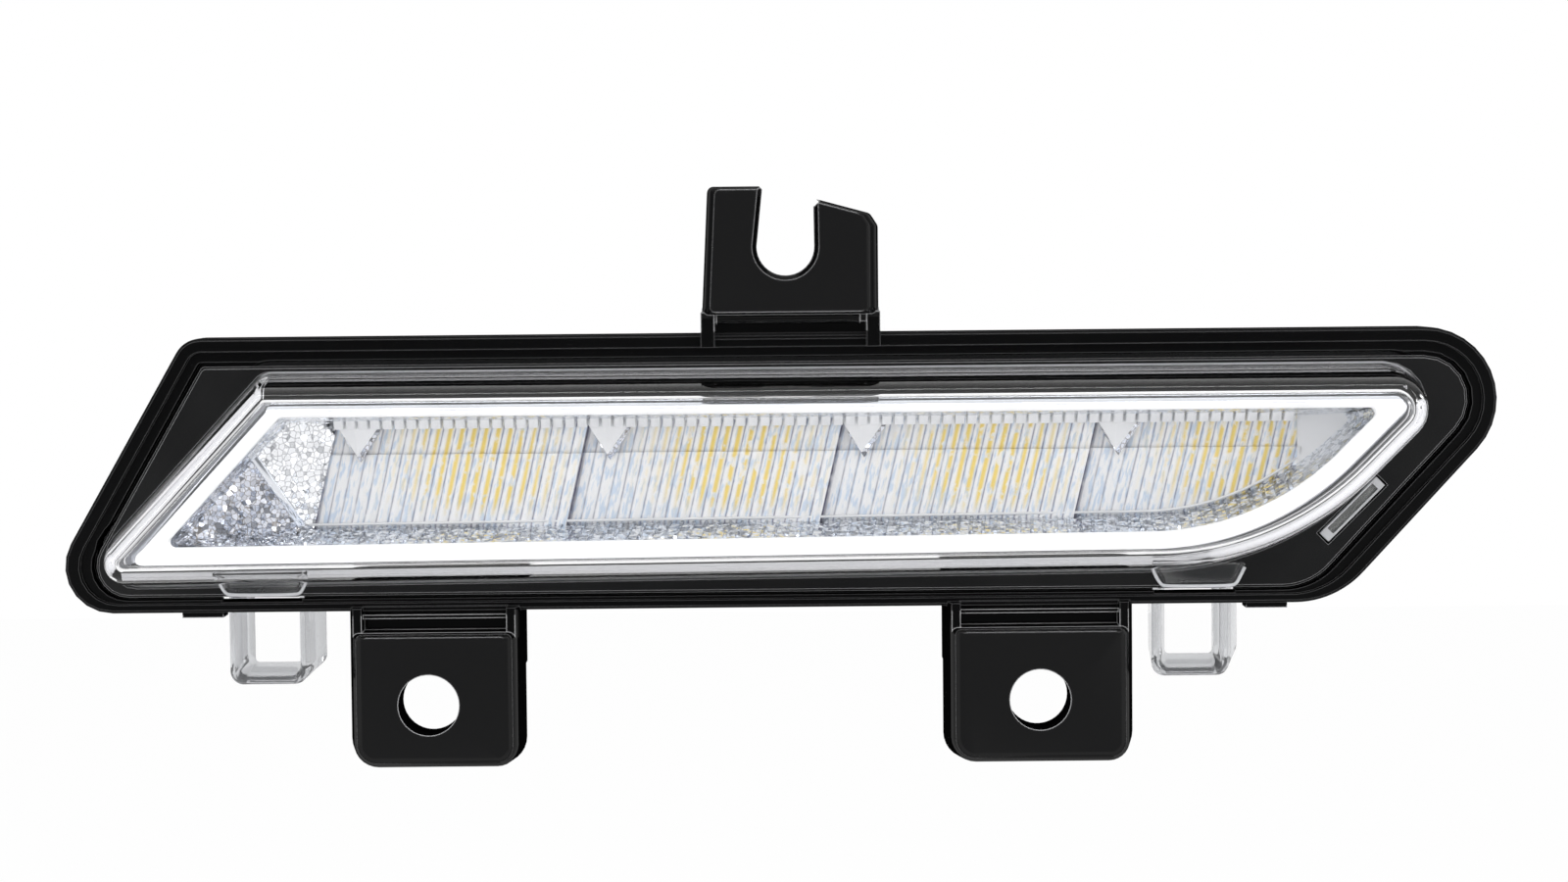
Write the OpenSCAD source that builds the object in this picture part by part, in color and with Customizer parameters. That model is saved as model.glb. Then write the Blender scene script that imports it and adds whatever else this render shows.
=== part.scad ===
// Daytime running light for the lower bumper: black housing with three moulded brackets, clear domed
// lens with snap loops, fluted reflector behind it and the electronics in the tub.
// X runs along the lamp, the lens looks towards -Y, Z is up. The origin lies midway between the two lower
// bolt holes, on the front face of their ears.

/* [Body] */
// height of the rim's lower edge above the bolt line
body_low = 12.9; // [12:0.1:14]
// height of the body from lower to upper edge
body_high = 38.5; // [37.5:0.5:42]
// distance of the lower left corner point from the middle
body_left = 98.6; // [97:0.5:104]
// distance of the lower right corner point from the middle
body_right = 84.5; // [83:0.5:90]
// how far the left end leans to the right over the height
lean_left = 22.1; // [20:0.1:24]
// how far the right end leans to the right over the height
lean_right = 35.8; // [34:0.1:38]
// corner radius at the lower left
corner_low_left = 6.6; // [5:0.1:8]
// corner radius at the lower right
corner_low_right = 13; // [11:0.5:15]
// corner radius at the upper right
corner_top_right = 10.2; // [8:0.1:12]
// corner radius at the upper left
corner_top_left = 4; // [3:0.1:6]
// front plane of the rim behind the front plane of the bolt ears
rim_front = 3.5; // [3:0.1:4.5]
// thickness of the rim band behind its front plane
rim_depth = 6; // [5.5:0.1:6.2]
// plane of the tub's rear wall
tub_rear = 30; // [29.5:0.5:34]
// wall thickness of the tub
tub_wall = 2.2; // [1.6:0.1:2.4]

/* [Lens] */
// distance of the lens from the body's upper edge
lens_from_top = 5; // [4.8:0.1:5.4]
// distance of the lens from the body's lower edge at the left
lens_low_left = 3.5; // [3.4:0.1:4]
// distance of the lens from the body's lower edge at the right
lens_low_right = 4.7; // [4.4:0.1:5.2]
// corner radius of the lens at the lower left
lens_r_low_left = 4.2; // [3.6:0.1:5]
// radius of the long sweep at the lower right
lens_sweep = 44; // [38:1:48]
// corner radius of the lens at the upper right
lens_r_top_right = 6; // [5:0.1:6.6]
// corner radius of the lens at the upper left
lens_r_top_left = 2.6; // [2.4:0.1:4]
// how far the lens face stands in front of the ears
lens_proud = 8; // [6.5:0.5:9]
// wall thickness of the clear lens
lens_wall = 1.9; // [1.5:0.1:2]
// width of a snap loop at its front
loop_w = 11; // [10:0.5:12]
// front to back depth of a snap loop
loop_deep = 7; // [6:0.5:8]
// height of a snap loop below the rim line
loop_high = 13; // [11:0.5:14]
// thickness of a snap loop's bottom bar
loop_bar = 2.4; // [2:0.1:3]
// place of the left snap loop
loop_left_x = -71.9; // [-75:0.5:-70]
// place of the right snap loop
loop_right_x = 59.3; // [58:0.5:60.5]

/* [Reflector] */
// width of one fluted cell
cell_pitch = 36.1; // [35:0.1:36.6]
// number of flutes in a cell
flutes = 21; // [16:1:24]
// depth of a flute
flute_deep = 0.45; // [0.2:0.05:0.6]
// lean of the flutes to the right
flute_lean = 13; // [8:1:16]
// height of the dividing line between the two rows of a cell
row_line = 34.1; // [33:0.1:35]
// step forward of the upper row
row_step = 0.7; // [0.3:0.1:1]
// wall thickness of the reflector
reflector_wall = 1.6; // [1.2:0.1:1.8]

/* [Brackets] */
// distance between the two lower bolt holes
bolt_spacing = 85.4; // [84:0.1:88]
// diameter of the lower bolt holes
bolt_hole = 8.5; // [7:0.1:9]
// thickness of the bolt ears
ear_deep = 7; // [6:0.5:8]
// width of the left ear
ear_left_w = 24.8; // [22:0.2:26]
// width of the right ear
ear_right_w = 26.8; // [24:0.2:27]
// how far the left ear is offset from its bolt hole
ear_left_shift = 0.8; // [0:0.1:1]
// width of the eased edge round the fork's slot
slot_ease = 0.6; // [0.3:0.1:0.8]
// depth of the ears below the bolt line
ear_drop = 9.2; // [8:0.1:11]
// width of the fork's slot
fork_slot = 8.1; // [6:0.1:9]
// width of the fork bracket
fork_w = 24.8; // [22:0.2:26]
// height of the tall fork prong above the body
fork_high = 20.5; // [18:0.5:24]
// depth of the fork slot below the prong
fork_slot_deep = 12.5; // [11:0.1:14]

/* [Electronics] */
// thickness of the LED board
board_thick = 1.4; // [1:0.1:1.6]
// edge length of an LED package
led_size = 3; // [2.5:0.1:3.4]
// number of cooling fins on the heat sink
fin_count = 22; // [12:1:26]
// width of the connector shroud
plug_w = 22; // [20:0.5:24]
// height of the connector shroud
plug_h = 13; // [12:0.5:14]
// length of the connector shroud behind the tub
plug_deep = 14; // [12:0.5:18]

/* [Fits] */
// clearance between parts that seat on one another
seat_gap = 0.1; // [0.05:0.05:0.15]
// clearance round parts that sit in a pocket
side_gap = 0.2; // [0.15:0.05:0.25]

/* [Output] */
// which piece to show

/* [Hidden] */
body_top = body_low + body_high;
lens_top = body_top - lens_from_top;
body_pts = [[-body_left, body_low], [body_right, body_low],
    [body_right + lean_right, body_top], [-body_left + lean_left, body_top]];
body_rad = [corner_low_left, corner_low_right, corner_top_right, corner_top_left];
lens_pts = [[-body_left + 5.1, body_low + lens_low_left], [body_right - 7.7, body_low + lens_low_right],
    [body_right + lean_right - 14.5, lens_top], [-body_left + lean_left + 10.7, lens_top]];
lens_rad = [lens_r_low_left, lens_sweep, lens_r_top_right, lens_r_top_left];
bezel_thick = 1.8;
flange_thick = 2.2;
bezel_front = rim_front + 1.3;
bezel_back = bezel_front + bezel_thick;
flange_front = bezel_back + 2 * seat_gap;
flange_back = flange_front + flange_thick;
land = flange_back + seat_gap;
rim_back = rim_front + rim_depth;
channel_floor = land + 3.7;
ring_back = channel_floor + 1.7;
tub_floor = tub_rear - 2;
roof_in = lens_top - 1 - tub_wall;
board_top = roof_in - 1.1;
board_low = board_top - board_thick;
field_back = 14;
cell_start = -56.2;
cell_top = lens_top - 7.9;
led_high = 0.9;
led_y = 12.7;
pin_gap = 6;
plug_x = 36;
plug_z = 31;
ears = [[-bolt_spacing / 2, ear_left_w, ear_left_shift], [bolt_spacing / 2, ear_right_w, 0.1]];
vent_at = [-body_left + 36.6, 31];
pillars = [[-37, 31], [62, 33]];
driver_bosses = [[-4, 34.5], [20, 26.5]];
board_screw_x = [-40, 7, 52];

// geometry of convex outlines, corner points listed counterclockwise
function unit(v) = v / norm(v);
function turn(v) = [-v[1], v[0]];
function cross2(a, b) = a[0] * b[1] - a[1] * b[0];
function meet(p, u, q, w) = p + u * (cross2(q - p, w) / cross2(u, w));
function side_dir(pts, i) = unit(pts[(i + 1) % len(pts)] - pts[i % len(pts)]);
function shifted(pts, i, d) = pts[i % len(pts)] + turn(side_dir(pts, i)) * d[i % len(pts)];
function inset(pts, d) = [for (i = [0 : len(pts) - 1]) let (j = (i + len(pts) - 1) % len(pts))
    meet(shifted(pts, j, d), side_dir(pts, j), shifted(pts, i, d), side_dir(pts, i))];
function corner(a, v, b, r, n) = let (u = unit(v - a), w = unit(b - v),
    phi = acos(max(-1, min(1, u * w))), t = r * tan(phi / 2), c = v - u * t + turn(u) * r,
    start = atan2(-u[0], u[1])) r < 0.05 ? [v]
    : [for (k = [0 : n]) c + r * [cos(start + phi * k / n), sin(start + phi * k / n)]];
function rounded(pts, rad) = [for (i = [0 : len(pts) - 1]) each corner(pts[(i + len(pts) - 1) % len(pts)],
    pts[i], pts[(i + 1) % len(pts)], rad[i], rad[i] > 20 ? 14 : rad[i] > 7.5 ? 12 : 7)];
function ring(pts, rad, d) = let (e = is_list(d) ? d : [for (p = pts) d])
    rounded(inset(pts, e), [for (i = [0 : len(rad) - 1]) max(rad[i] - e[i], 0.8)]);

module slab(front, back) {
    translate([0, back, 0])
        rotate([90, 0, 0])
            linear_extrude(back - front)
                children();
}

module body_shape(d) {
    polygon(ring(body_pts, body_rad, d));
}

module lens_shape(d) {
    polygon(ring(lens_pts, lens_rad, d));
}

module lens_level(y, d) {
    slab(y - 0.02, y)
        lens_shape(d);
}

module post(x, z, front, back, r) {
    translate([x, back, z])
        rotate([90, 0, 0])
            cylinder(r = r, h = back - front);
}

// strip that follows the right end of the lens, used for the clip and for its slot
module clip_strip(front, back, grow) {
    way = side_dir(lens_pts, 1);
    at = meet(lens_pts[1], way, [0, body_low + 13.9], [1, 0]) - turn(way) * 1.3;
    translate([at[0], 0, at[1]])
        rotate([0, -atan2(way[1], way[0]), 0])
            translate([-5.6 - grow, front, -0.85 - grow])
                cube([11.2 + 2 * grow, back - front, 1.7 + 2 * grow]);
}

module tab_shape(x) {
    polygon([[x - 0.9, body_low + 6], [x + 0.6, body_low + 2],
        [x + loop_w - 0.4, body_low + 2], [x + loop_w + 1.1, body_low + 6]]);
}

module ear_block(x, w) {
    box = [[x - w / 2, -ear_drop], [x + w / 2, -ear_drop], [x + w / 2, 10.2], [x - w / 2, 10.2]];
    rad = [3.8, 3.8, 1.2, 1.2];
    hull() {
        slab(ear_deep - 0.1, ear_deep)
            polygon(ring(box, rad, 0));
        slab(1.9, 2)
            polygon(ring(box, rad, [0.3, 0.85, 0.1, 0.85]));
        slab(1.1, 1.2)
            polygon(ring(box, rad, [0.5, 1.05, 0.15, 1.05]));
        slab(0.4, 0.5)
            polygon(ring(box, rad, [1, 1.5, 0.3, 1.5]));
        slab(0, 0.1)
            polygon(ring(box, rad, [1.8, 2.3, 0.7, 2.3]));
    }
}

module ear_neck(x, w) {
    difference() {
        translate([x, 0, 5])
            linear_extrude(body_low - 4.4)
                polygon([[-w / 2 + 1.05, 1.2], [w / 2 - 1.05, 1.2], [w / 2 - 0.85, 2], [w / 2, ear_deep],
                    [w / 2, rim_back], [-w / 2, rim_back], [-w / 2, ear_deep], [-w / 2 + 0.85, 2]]);
        translate([x - w / 2 + 2.3, -1, 10.1])
            cube([w - 4.6, 1 + 4.6, body_low]);
        translate([x - w / 2 + 2.2, -1, -5])
            cube([w - 4.4, 1 + 4.6, 14]);
    }
    for (i = [0 : 2])
        translate([x - w / 2 + 2.2, 2.7 + 0.3 * i, body_low - 1 + 1.1 * i])
            cube([w - 4.4, 3.2, 0.6]);
}

module lower_ear(x, w, shift) {
    difference() {
        union() {
            ear_block(x + shift, w);
            ear_neck(x + shift, w);
        }
        post(x, 0, -1, ear_deep + 1, bolt_hole / 2);
    }
}

fork_left = -4.1;
fork_mid = 7.7;
fork_top = body_top + fork_high;

// outline of the fork's slot, its walls closing in a little towards the mouth
function slot_outline(grow) = let (half = fork_slot / 2, low = fork_top - fork_slot_deep + half)
    concat([for (k = [0 : 20]) [fork_mid - (half + grow) * cos(9 * k), low - (half + grow) * sin(9 * k)]],
        [[fork_mid + half - 0.1 + grow, fork_top + 1], [fork_mid - half + 1 - grow, fork_top + 1]]);

// slot with eased front edges and rounded prong tips
module fork_slot_cut() {
    slab(-1, ear_deep + 1)
        polygon(slot_outline(0));
    hull() {
        slab(slot_ease, slot_ease + 0.05)
            polygon(slot_outline(-0.02));
        slab(-0.2, -0.1)
            polygon(slot_outline(slot_ease + 0.1));
    }
    for (tip = [[1 - fork_slot / 2, 0.1], [fork_slot / 2, -2.2]])
        translate([fork_mid + tip[0], -1, fork_top + tip[1]])
            rotate([0, 45, 0])
                translate([-0.5, 0, -0.5])
                    cube([1, ear_deep + 2, 1]);
}

module fork_bracket() {
    right = fork_left + fork_w;
    low = body_top + 2.6;
    pts = [[fork_left, low], [right, low], [right, fork_top - 5.6], [right - 1.1, fork_top - 3.9],
        [fork_mid + 4.6, fork_top - 1.9], [fork_mid - 3.4, fork_top], [fork_left + 0.9, fork_top]];
    rad = [0.8, 0.8, 1.2, 1, 0.8, 0.8, 1];
    edge = [0.4, 1.9, 1.5, 0.5, 0.5, 0.5, 1.2];
    difference() {
        union() {
            hull() {
                slab(ear_deep - 0.1, ear_deep)
                    polygon(ring(pts, rad, 0));
                slab(1.7, 1.8)
                    polygon(ring(pts, rad, edge * 0.12));
                slab(0.8, 0.9)
                    polygon(ring(pts, rad, edge * 0.35));
                slab(0.3, 0.4)
                    polygon(ring(pts, rad, edge * 0.6));
                slab(0, 0.1)
                    polygon(ring(pts, rad, edge));
            }
            translate([fork_left - 0.1, 1.4, body_top - 2])
                cube([1.9, rim_back - 1.4, 5]);
            translate([right - 1.8, 1.4, body_top - 2])
                cube([1.9, rim_back - 1.4, 5]);
            translate([fork_left, 4.2, body_top - 2])
                cube([fork_w, rim_back - 4.2, 5.5]);
            translate([fork_left + 2.1, 1.8, low - 0.5])
                rotate([0, 90, 0])
                    cylinder(r = 0.72, h = fork_w - 4.8);
            translate([fork_left + 1.7, 1.8, low - 1])
                cube([fork_w - 3.4, 3, 1.2]);
            translate([fork_left + 1.4, 2.6, body_top - 0.8])
                cube([fork_w - 2.8, 2, 0.5]);
        }
        fork_slot_cut();
    }
}

module plug_shroud() {
    difference() {
        union() {
            translate([plug_x - plug_w / 2, tub_rear - 0.5, plug_z - plug_h / 2])
                cube([plug_w, plug_deep + 0.5, plug_h]);
            translate([plug_x - 3.5, tub_rear + 5, plug_z + plug_h / 2 - 0.1])
                cube([7, 1.2, 1.3]);
            for (s = [-1, 1])
                translate([plug_x + s * (plug_w / 2 - 3) - 0.6, tub_rear - 0.5, plug_z + plug_h / 2 - 0.1])
                    cube([1.2, plug_deep - 1, 0.9]);
        }
        translate([plug_x - plug_w / 2 + 1.6, tub_rear, plug_z - plug_h / 2 + 1.6])
            cube([plug_w - 3.2, plug_deep + 1, plug_h - 3.2]);
        for (s = [-1, 1])
            translate([plug_x + s * (plug_w / 2 - 1.6) - 0.5, tub_rear + 1, plug_z - 1])
                cube([1, plug_deep, 2]);
    }
}

module rear_housing() {
    color([0.05, 0.05, 0.055])
        difference() {
            union() {
                slab(rim_front + 0.5, rim_back)
                    body_shape(0);
                slab(rim_front, rim_front + 0.6)
                    body_shape(0.35);
                slab(rim_back - 0.1, ring_back)
                    lens_shape(-1.8);
                slab(ring_back - 0.1, tub_rear)
                    lens_shape(1);
                for (e = ears)
                    lower_ear(e[0], e[1], e[2]);
                fork_bracket();
                plug_shroud();
                for (x = [-body_left + 21, body_right - 12.5])
                    translate([x, rim_front + 1.2, body_low - 0.8])
                        cube([5.8, 4, 1.4]);
                for (x = [-50, -24, -2, 14, 78])
                    translate([x, tub_rear - 0.5, body_low + 9.5])
                        cube([1.4, 1.9, 20]);
                post(vent_at[0], vent_at[1], tub_rear - 0.5, tub_rear + 4, 4.6);
                for (p = pillars)
                    post(p[0], p[1], tub_rear - 0.5, tub_rear + 1, 4.6);
            }
            slab(-20, rim_front + 1.1)
                body_shape([1.2, 1.9, 1.9, 1.9]);
            slab(-20, bezel_back + seat_gap)
                body_shape([1.7, 3.3, 3.4, 3.3]);
            slab(-20, land)
                lens_shape([-1.8, -2.6, -1.8, -1.8]);
            difference() {
                slab(-20, channel_floor)
                    lens_shape(-0.2);
                slab(-21, channel_floor + 1)
                    lens_shape(2);
            }
            slab(-20, tub_floor)
                lens_shape(1 + tub_wall);
            for (x = [loop_left_x, loop_right_x])
                strap_way(x);
            clip_strip(-10, flange_front + 0.6, side_gap);
            for (p = pillars) {
                post(p[0], p[1], tub_floor - 1, tub_rear + 3, 1.6);
            }
            for (x = board_screw_x)
                translate([x, 18, roof_in - 1])
                    cylinder(r = 1.3, h = 2.6);
            post(vent_at[0], vent_at[1], tub_floor - 1, tub_rear + 6, 2);
            for (s = [-1, 1])
                translate([plug_x + s * pin_gap / 2 - 0.5, tub_floor - 1, plug_z - 1.25])
                    cube([1, 4, 2.5]);
        }
    color([0.05, 0.05, 0.055])
        for (p = driver_bosses)
            difference() {
                post(p[0], p[1], 23.6, tub_floor + 0.5, 3);
                post(p[0], p[1], 23, tub_floor - 1, 1.1);
            }
}

module strap_way(x) {
    translate([x - side_gap, -10, body_low + 1.6 - side_gap])
        cube([loop_w + 2 * side_gap, land + 10, 5.2]);
    translate([x - 0.5 - side_gap, flange_front + 0.3, body_low + 1.4])
        cube([loop_w + 3.2 + 2 * side_gap, loop_deep + 6, 1.6]);
    translate([x - 0.9, rim_back + 0.15, body_low - 2])
        cube([loop_w + 4.2, loop_deep + 6, 4.9]);
}

module front_bezel() {
    edge = [2.1, 3.9, 4, 3.9];
    color([0.06, 0.06, 0.065])
        difference() {
            union() {
                slab(bezel_front + 0.4, bezel_back)
                    body_shape(edge);
                slab(bezel_front, bezel_front + 0.5)
                    body_shape(edge + [0.35, 0.35, 0.35, 0.35]);
            }
            slab(bezel_front - 1, bezel_back + 1)
                lens_shape(-side_gap);
            clip_strip(bezel_front - 1, bezel_back + 1, side_gap + 0.1);
        }
}

function loop_outline(x0, x1, z0, z1, c) = [[x0 + c, z0], [x1 - c, z0], [x1 - 0.45 * c, z0 + 0.16 * c],
    [x1 - 0.16 * c, z0 + 0.45 * c], [x1, z0 + c], [x1, z1], [x0, z1], [x0, z0 + c],
    [x0 + 0.16 * c, z0 + 0.45 * c], [x0 + 0.45 * c, z0 + 0.16 * c]];

module lens_loop(x) {
    front = rim_back + 0.5;
    top = body_low + 2.7;
    low = body_low - loop_high + 2;
    difference() {
        hull() {
            slab(front, front + 0.1)
                polygon(loop_outline(x, x + loop_w, low, top, 1.8));
            slab(front + loop_deep - 0.1, front + loop_deep)
                polygon(loop_outline(x + 0.2, x + loop_w + 2.1, low + 1.9, top, 1.8));
        }
        hull() {
            slab(front - 0.2, front - 0.1)
                translate([x + 1.2, low + loop_bar - 1.4])
                    square([loop_w - 2.2, top - low - loop_bar + 0.1]);
            slab(front + loop_deep + 0.1, front + loop_deep + 0.2)
                translate([x + 2.6, low + loop_bar])
                    square([loop_w - 4.2, top - low - loop_bar - 1.3]);
        }
    }
}

module lens_strap(x) {
    translate([x + 0.7, flange_back - 1.2, body_low + 1.7])
        cube([loop_w - 1.4, rim_back + loop_deep - flange_back + 1.2, 0.9]);
}

module outer_lens() {
    face = -lens_proud;
    w = lens_wall;
    color([0.85, 0.9, 0.95, 0.35]) {
        difference() {
            union() {
                hull() {
                    lens_level(flange_back, 0);
                    lens_level(2, 0.5);
                    lens_level(face + 4.5, 1.2);
                    lens_level(face + 1.8, 2.2);
                    lens_level(face + 0.4, 3.6);
                    lens_level(face + 0.02, 5);
                }
                slab(flange_front, flange_back)
                    lens_shape([-1.6, -2.4, -1.6, -1.6]);
                slab(flange_back - 0.1, land + 2.4)
                    lens_shape(0.1);
                for (x = [loop_left_x, loop_right_x]) {
                    slab(bezel_front - 1.4, bezel_front - seat_gap)
                        tab_shape(x);
                    translate([x, flange_front, body_low + 1.6])
                        cube([loop_w, flange_thick, 5]);
                }
                clip_strip(bezel_front - 0.5, flange_front + 0.5, 0);
            }
            hull() {
                lens_level(land + 3, w - 0.1);
                lens_level(flange_back - 0.3, w - 0.04);
                lens_level(2, w + 0.4);
                lens_level(face + 4.5, w + 1);
                lens_level(face + w + 0.9, w + 1.5);
                lens_level(face + w + 0.3, w + 2);
                lens_level(face + w + 0.1, w + 2.8);
            }
            for (x = [loop_left_x, loop_right_x])
                translate([x + 1.2, bezel_front - 2, body_low + 2.7])
                    cube([loop_w - 2.2, 1.2, 1.1]);
        }
        for (x = [loop_left_x, loop_right_x]) {
            lens_loop(x);
            lens_strap(x);
        }
    }
}

module lens_seal() {
    color([0.12, 0.12, 0.12])
        difference() {
            slab(land + 2.4, channel_floor)
                lens_shape(0);
            slab(land + 1, channel_floor + 1)
                lens_shape(1.8);
        }
}

// plan of one cell's flutes as points from left to right
function flute_pts(x0, n) = [for (i = [0 : n - 1]) for (k = [0 : 4])
    let (s = (i + k / 5) / n) [x0 + s * cell_pitch,
        field_back - 0.4 - 1.3 * s * s - flute_deep * sin(180 * k / 5)]];

module flute_row(low, high, forward, count) {
    lean = tan(flute_lean);
    intersection() {
        translate([cell_start + cell_pitch * 0 + lean * (low - 25.2) - 3.4, -forward, low])
            multmatrix([[1, 0, lean, 0], [0, 1, 0, 0], [0, 0, 1, 0]])
                linear_extrude(high - low)
                    polygon(concat([[0, field_back + 0.5]],
                        [for (c = [0 : 3]) each flute_pts(c * cell_pitch, flutes)],
                        [[4 * cell_pitch, field_back + 0.5]]));
        slab(field_back - 6, field_back + 0.4)
            intersection() {
                lens_shape([7.2, 7.6, 7.7, 7.4]);
                translate([-body_left, body_low])
                    square([body_left + 80.6, body_high]);
            }
    }
}

module facet(points, front) {
    hull()
        for (i = [0 : len(points) - 1])
            translate([points[i][0], front[i], points[i][1]])
                rotate([-90, 0, 0])
                    cylinder(r = 0.25, h = field_back + 0.6 - front[i], $fn = 8);
}

module reflector() {
    w = reflector_wall;
    mouth = [5.9, 6.4, 6.8, 6.3];
    deep = [7.4, 7.8, 7.9, 7.6];
    color([0.86, 0.87, 0.9])
        difference() {
            union() {
                difference() {
                    union() {
                        hull() {
                            lens_level(1.4, mouth - [w, w, w, w]);
                            lens_level(field_back + w, deep - [w, w, w, w]);
                        }
                        difference() {
                            hull() {
                                lens_level(flange_back - 0.1, [2.4, 2.9, 2.4, 2.6]);
                                lens_level(3.5, [2.5, 3, 2.8, 2.8]);
                                lens_level(1.4, [2.7, 3.4, 4.5, 3.9]);
                                lens_level(1, [2.95, 3.7, 4.9, 4.2]);
                            }
                            hull() {
                                lens_level(flange_back + 0.1, [3.9, 4.4, 4.5, 4.1]);
                                lens_level(2.8, [4.2, 4.9, 6, 5.3]);
                            }
                        }
                    }
                    hull() {
                        lens_level(0.9, mouth);
                        lens_level(field_back, deep);
                    }
                }
                flute_row(body_low + 11.5, row_line - 0.15, 0, 4);
                flute_row(row_line - 0.2, cell_top + 0.3, row_step, 4);
                facet([[-64.4, 38], [-59, 38], [-57, 36.4], [-60.6, 25.4], [-61.4, 24.8], [-67.6, 34.9]],
                    [9.6, 11.4, 12.2, 12.6, 11.8, 8.4]);
                facet([[-67.9, 34.2], [-61.8, 24.6], [-80.6, 21.8]], [9.4, 11.4, 7.6]);
                facet([[81.2, 37.8], [88, 37.8], [81, 31.2]], [11.4, 9.6, 11.2]);
                for (p = pillars)
                    post(p[0], p[1], field_back + 0.5, tub_floor - seat_gap, 3.2);
            }
            for (i = [0 : 3])
                translate([cell_start + i * cell_pitch + 1.4, led_y - 2.4, cell_top - 0.6])
                    cube([led_size + 1.4, 4.8, 5]);
            for (p = pillars)
                post(p[0], p[1], field_back + 4, tub_rear, 1.35);
        }
}

module led_board() {
    color([0.92, 0.93, 0.9])
        difference() {
            union() {
                translate([cell_start, 9.9, board_low])
                    cube([3 * cell_pitch + 12, 12.1, board_thick]);
                for (i = [0 : 3])
                    translate([cell_start + i * cell_pitch + 10, 15.6, board_low - 0.5])
                        cube([1.6, 0.8, 0.6]);
            }
            for (x = board_screw_x)
                translate([x, 18, board_low - 1])
                    cylinder(r = 1.35, h = board_thick + 2);
        }
}

module led(i) {
    x = cell_start + i * cell_pitch + 2.1 + led_size / 2;
    color([0.95, 0.8, 0.25]) {
        translate([x - led_size / 2, led_y - led_size / 2, board_low - 0.5])
            cube([led_size, led_size, 0.5]);
        translate([x, led_y, board_low - 0.5])
            intersection() {
                translate([0, 0, 0.6])
                    sphere(r = led_size * 0.45);
                translate([-3, -3, -0.55])
                    cube([6, 6, 0.6]);
            }
    }
}

module heat_sink() {
    wide = 3 * cell_pitch + 12;
    color([0.75, 0.76, 0.78])
        difference() {
            union() {
                translate([cell_start, 9.9, board_top])
                    cube([wide, tub_floor - 0.3 - 9.9, 1]);
                for (i = [0 : fin_count - 1])
                    translate([cell_start + 1 + i * (wide - 3.2) / (fin_count - 1), 22.8, board_top - 3.1])
                        cube([1.2, tub_floor - 0.3 - 22.8, 3.2]);
            }
            for (x = board_screw_x)
                translate([x, 18, board_top - 1])
                    cylinder(r = 1.35, h = 4);
        }
}

module led_board_screws() {
    color([0.7, 0.7, 0.72])
        for (x = board_screw_x)
            difference() {
                union() {
                    translate([x, 18, board_low - 1.2])
                        cylinder(r = 2.3, h = 1.2);
                    translate([x, 18, board_low - 0.2])
                        cylinder(r = 1.2, h = roof_in + 1.4 - board_low);
                }
                translate([x - 1.4, 17.7, board_low - 1.3])
                    cube([2.8, 0.6, 0.7]);
                translate([x - 0.3, 16.6, board_low - 1.3])
                    cube([0.6, 2.8, 0.7]);
            }
}

module driver_board() {
    color([0.05, 0.3, 0.16])
        difference() {
            translate([-9, 22, body_low + 10.2])
                cube([55, 1.5, 14.4]);
            for (p = driver_bosses)
                post(p[0], p[1], 21, 25, 1.35);
            for (s = [-1, 1])
                translate([plug_x + s * pin_gap / 2 - 0.5, 21, plug_z - 1.25])
                    cube([1, 3, 2.5]);
        }
}

module driver_chip() {
    color([0.08, 0.08, 0.08]) {
        translate([7, 20.4, 31])
            cube([6, 1.5, 4]);
        for (i = [0 : 3])
            for (z = [30.2, 34.9])
                translate([7.6 + i * 1.4, 21.4, z])
                    cube([0.5, 0.6, 0.9]);
    }
}

module inductor() {
    color([0.2, 0.2, 0.22])
        difference() {
            translate([24, 17.9, 26])
                cube([8, 4.1, 8]);
            difference() {
                post(28, 30, 17.8, 20.6, 3.6);
                post(28, 30, 17.8, 20.6, 2.2);
            }
        }
}

module capacitor(i) {
    x = [1, 17][i];
    z = [28, 33][i];
    color([0.65, 0.66, 0.7])
        difference() {
            post(x, z, 17.4, 22, 2.4);
            post(x, z, 17, 17.7, 1.6);
        }
}

module diode() {
    color([0.1, 0.1, 0.1]) {
        translate([7.4, 20, 26])
            cube([4.4, 1.9, 2.6]);
        for (x = [6.6, 11.6])
            translate([x, 21.5, 26.6])
                cube([1, 0.5, 1.4]);
    }
}

module driver_screws() {
    color([0.7, 0.7, 0.72])
        for (p = driver_bosses)
            difference() {
                union() {
                    post(p[0], p[1], 20.8, 22, 2.3);
                    post(p[0], p[1], 21.8, tub_floor - 1.6, 1.05);
                }
                translate([p[0] - 1.4, 20.7, p[1] - 0.3])
                    cube([2.8, 0.7, 0.6]);
                translate([p[0] - 0.3, 20.7, p[1] - 1.4])
                    cube([0.6, 0.7, 2.8]);
            }
}

module reflector_screws() {
    head = tub_rear + 1;
    color([0.7, 0.7, 0.72])
        for (p = pillars)
            difference() {
                union() {
                    post(p[0], p[1], head, head + 1.8, 3);
                    post(p[0], p[1], field_back + 6, head + 0.2, 1.3);
                }
                translate([p[0] - 1.8, head + 1, p[1] - 0.4])
                    cube([3.6, 1, 0.8]);
                translate([p[0] - 0.4, head + 1, p[1] - 1.8])
                    cube([0.8, 1, 3.6]);
            }
}

module pin(i) {
    x = plug_x + (i == 0 ? -1 : 1) * pin_gap / 2;
    color([0.85, 0.75, 0.4])
        difference() {
            translate([x - 0.4, 21.2, plug_z - 1.15])
                cube([0.8, tub_rear + plug_deep - 6 - 21.2, 2.3]);
            translate([x - 1, tub_rear + plug_deep - 6, plug_z + 0.9])
                rotate([45, 0, 0])
                    cube([2, 1.2, 1.2], center = false);
        }
}

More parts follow.
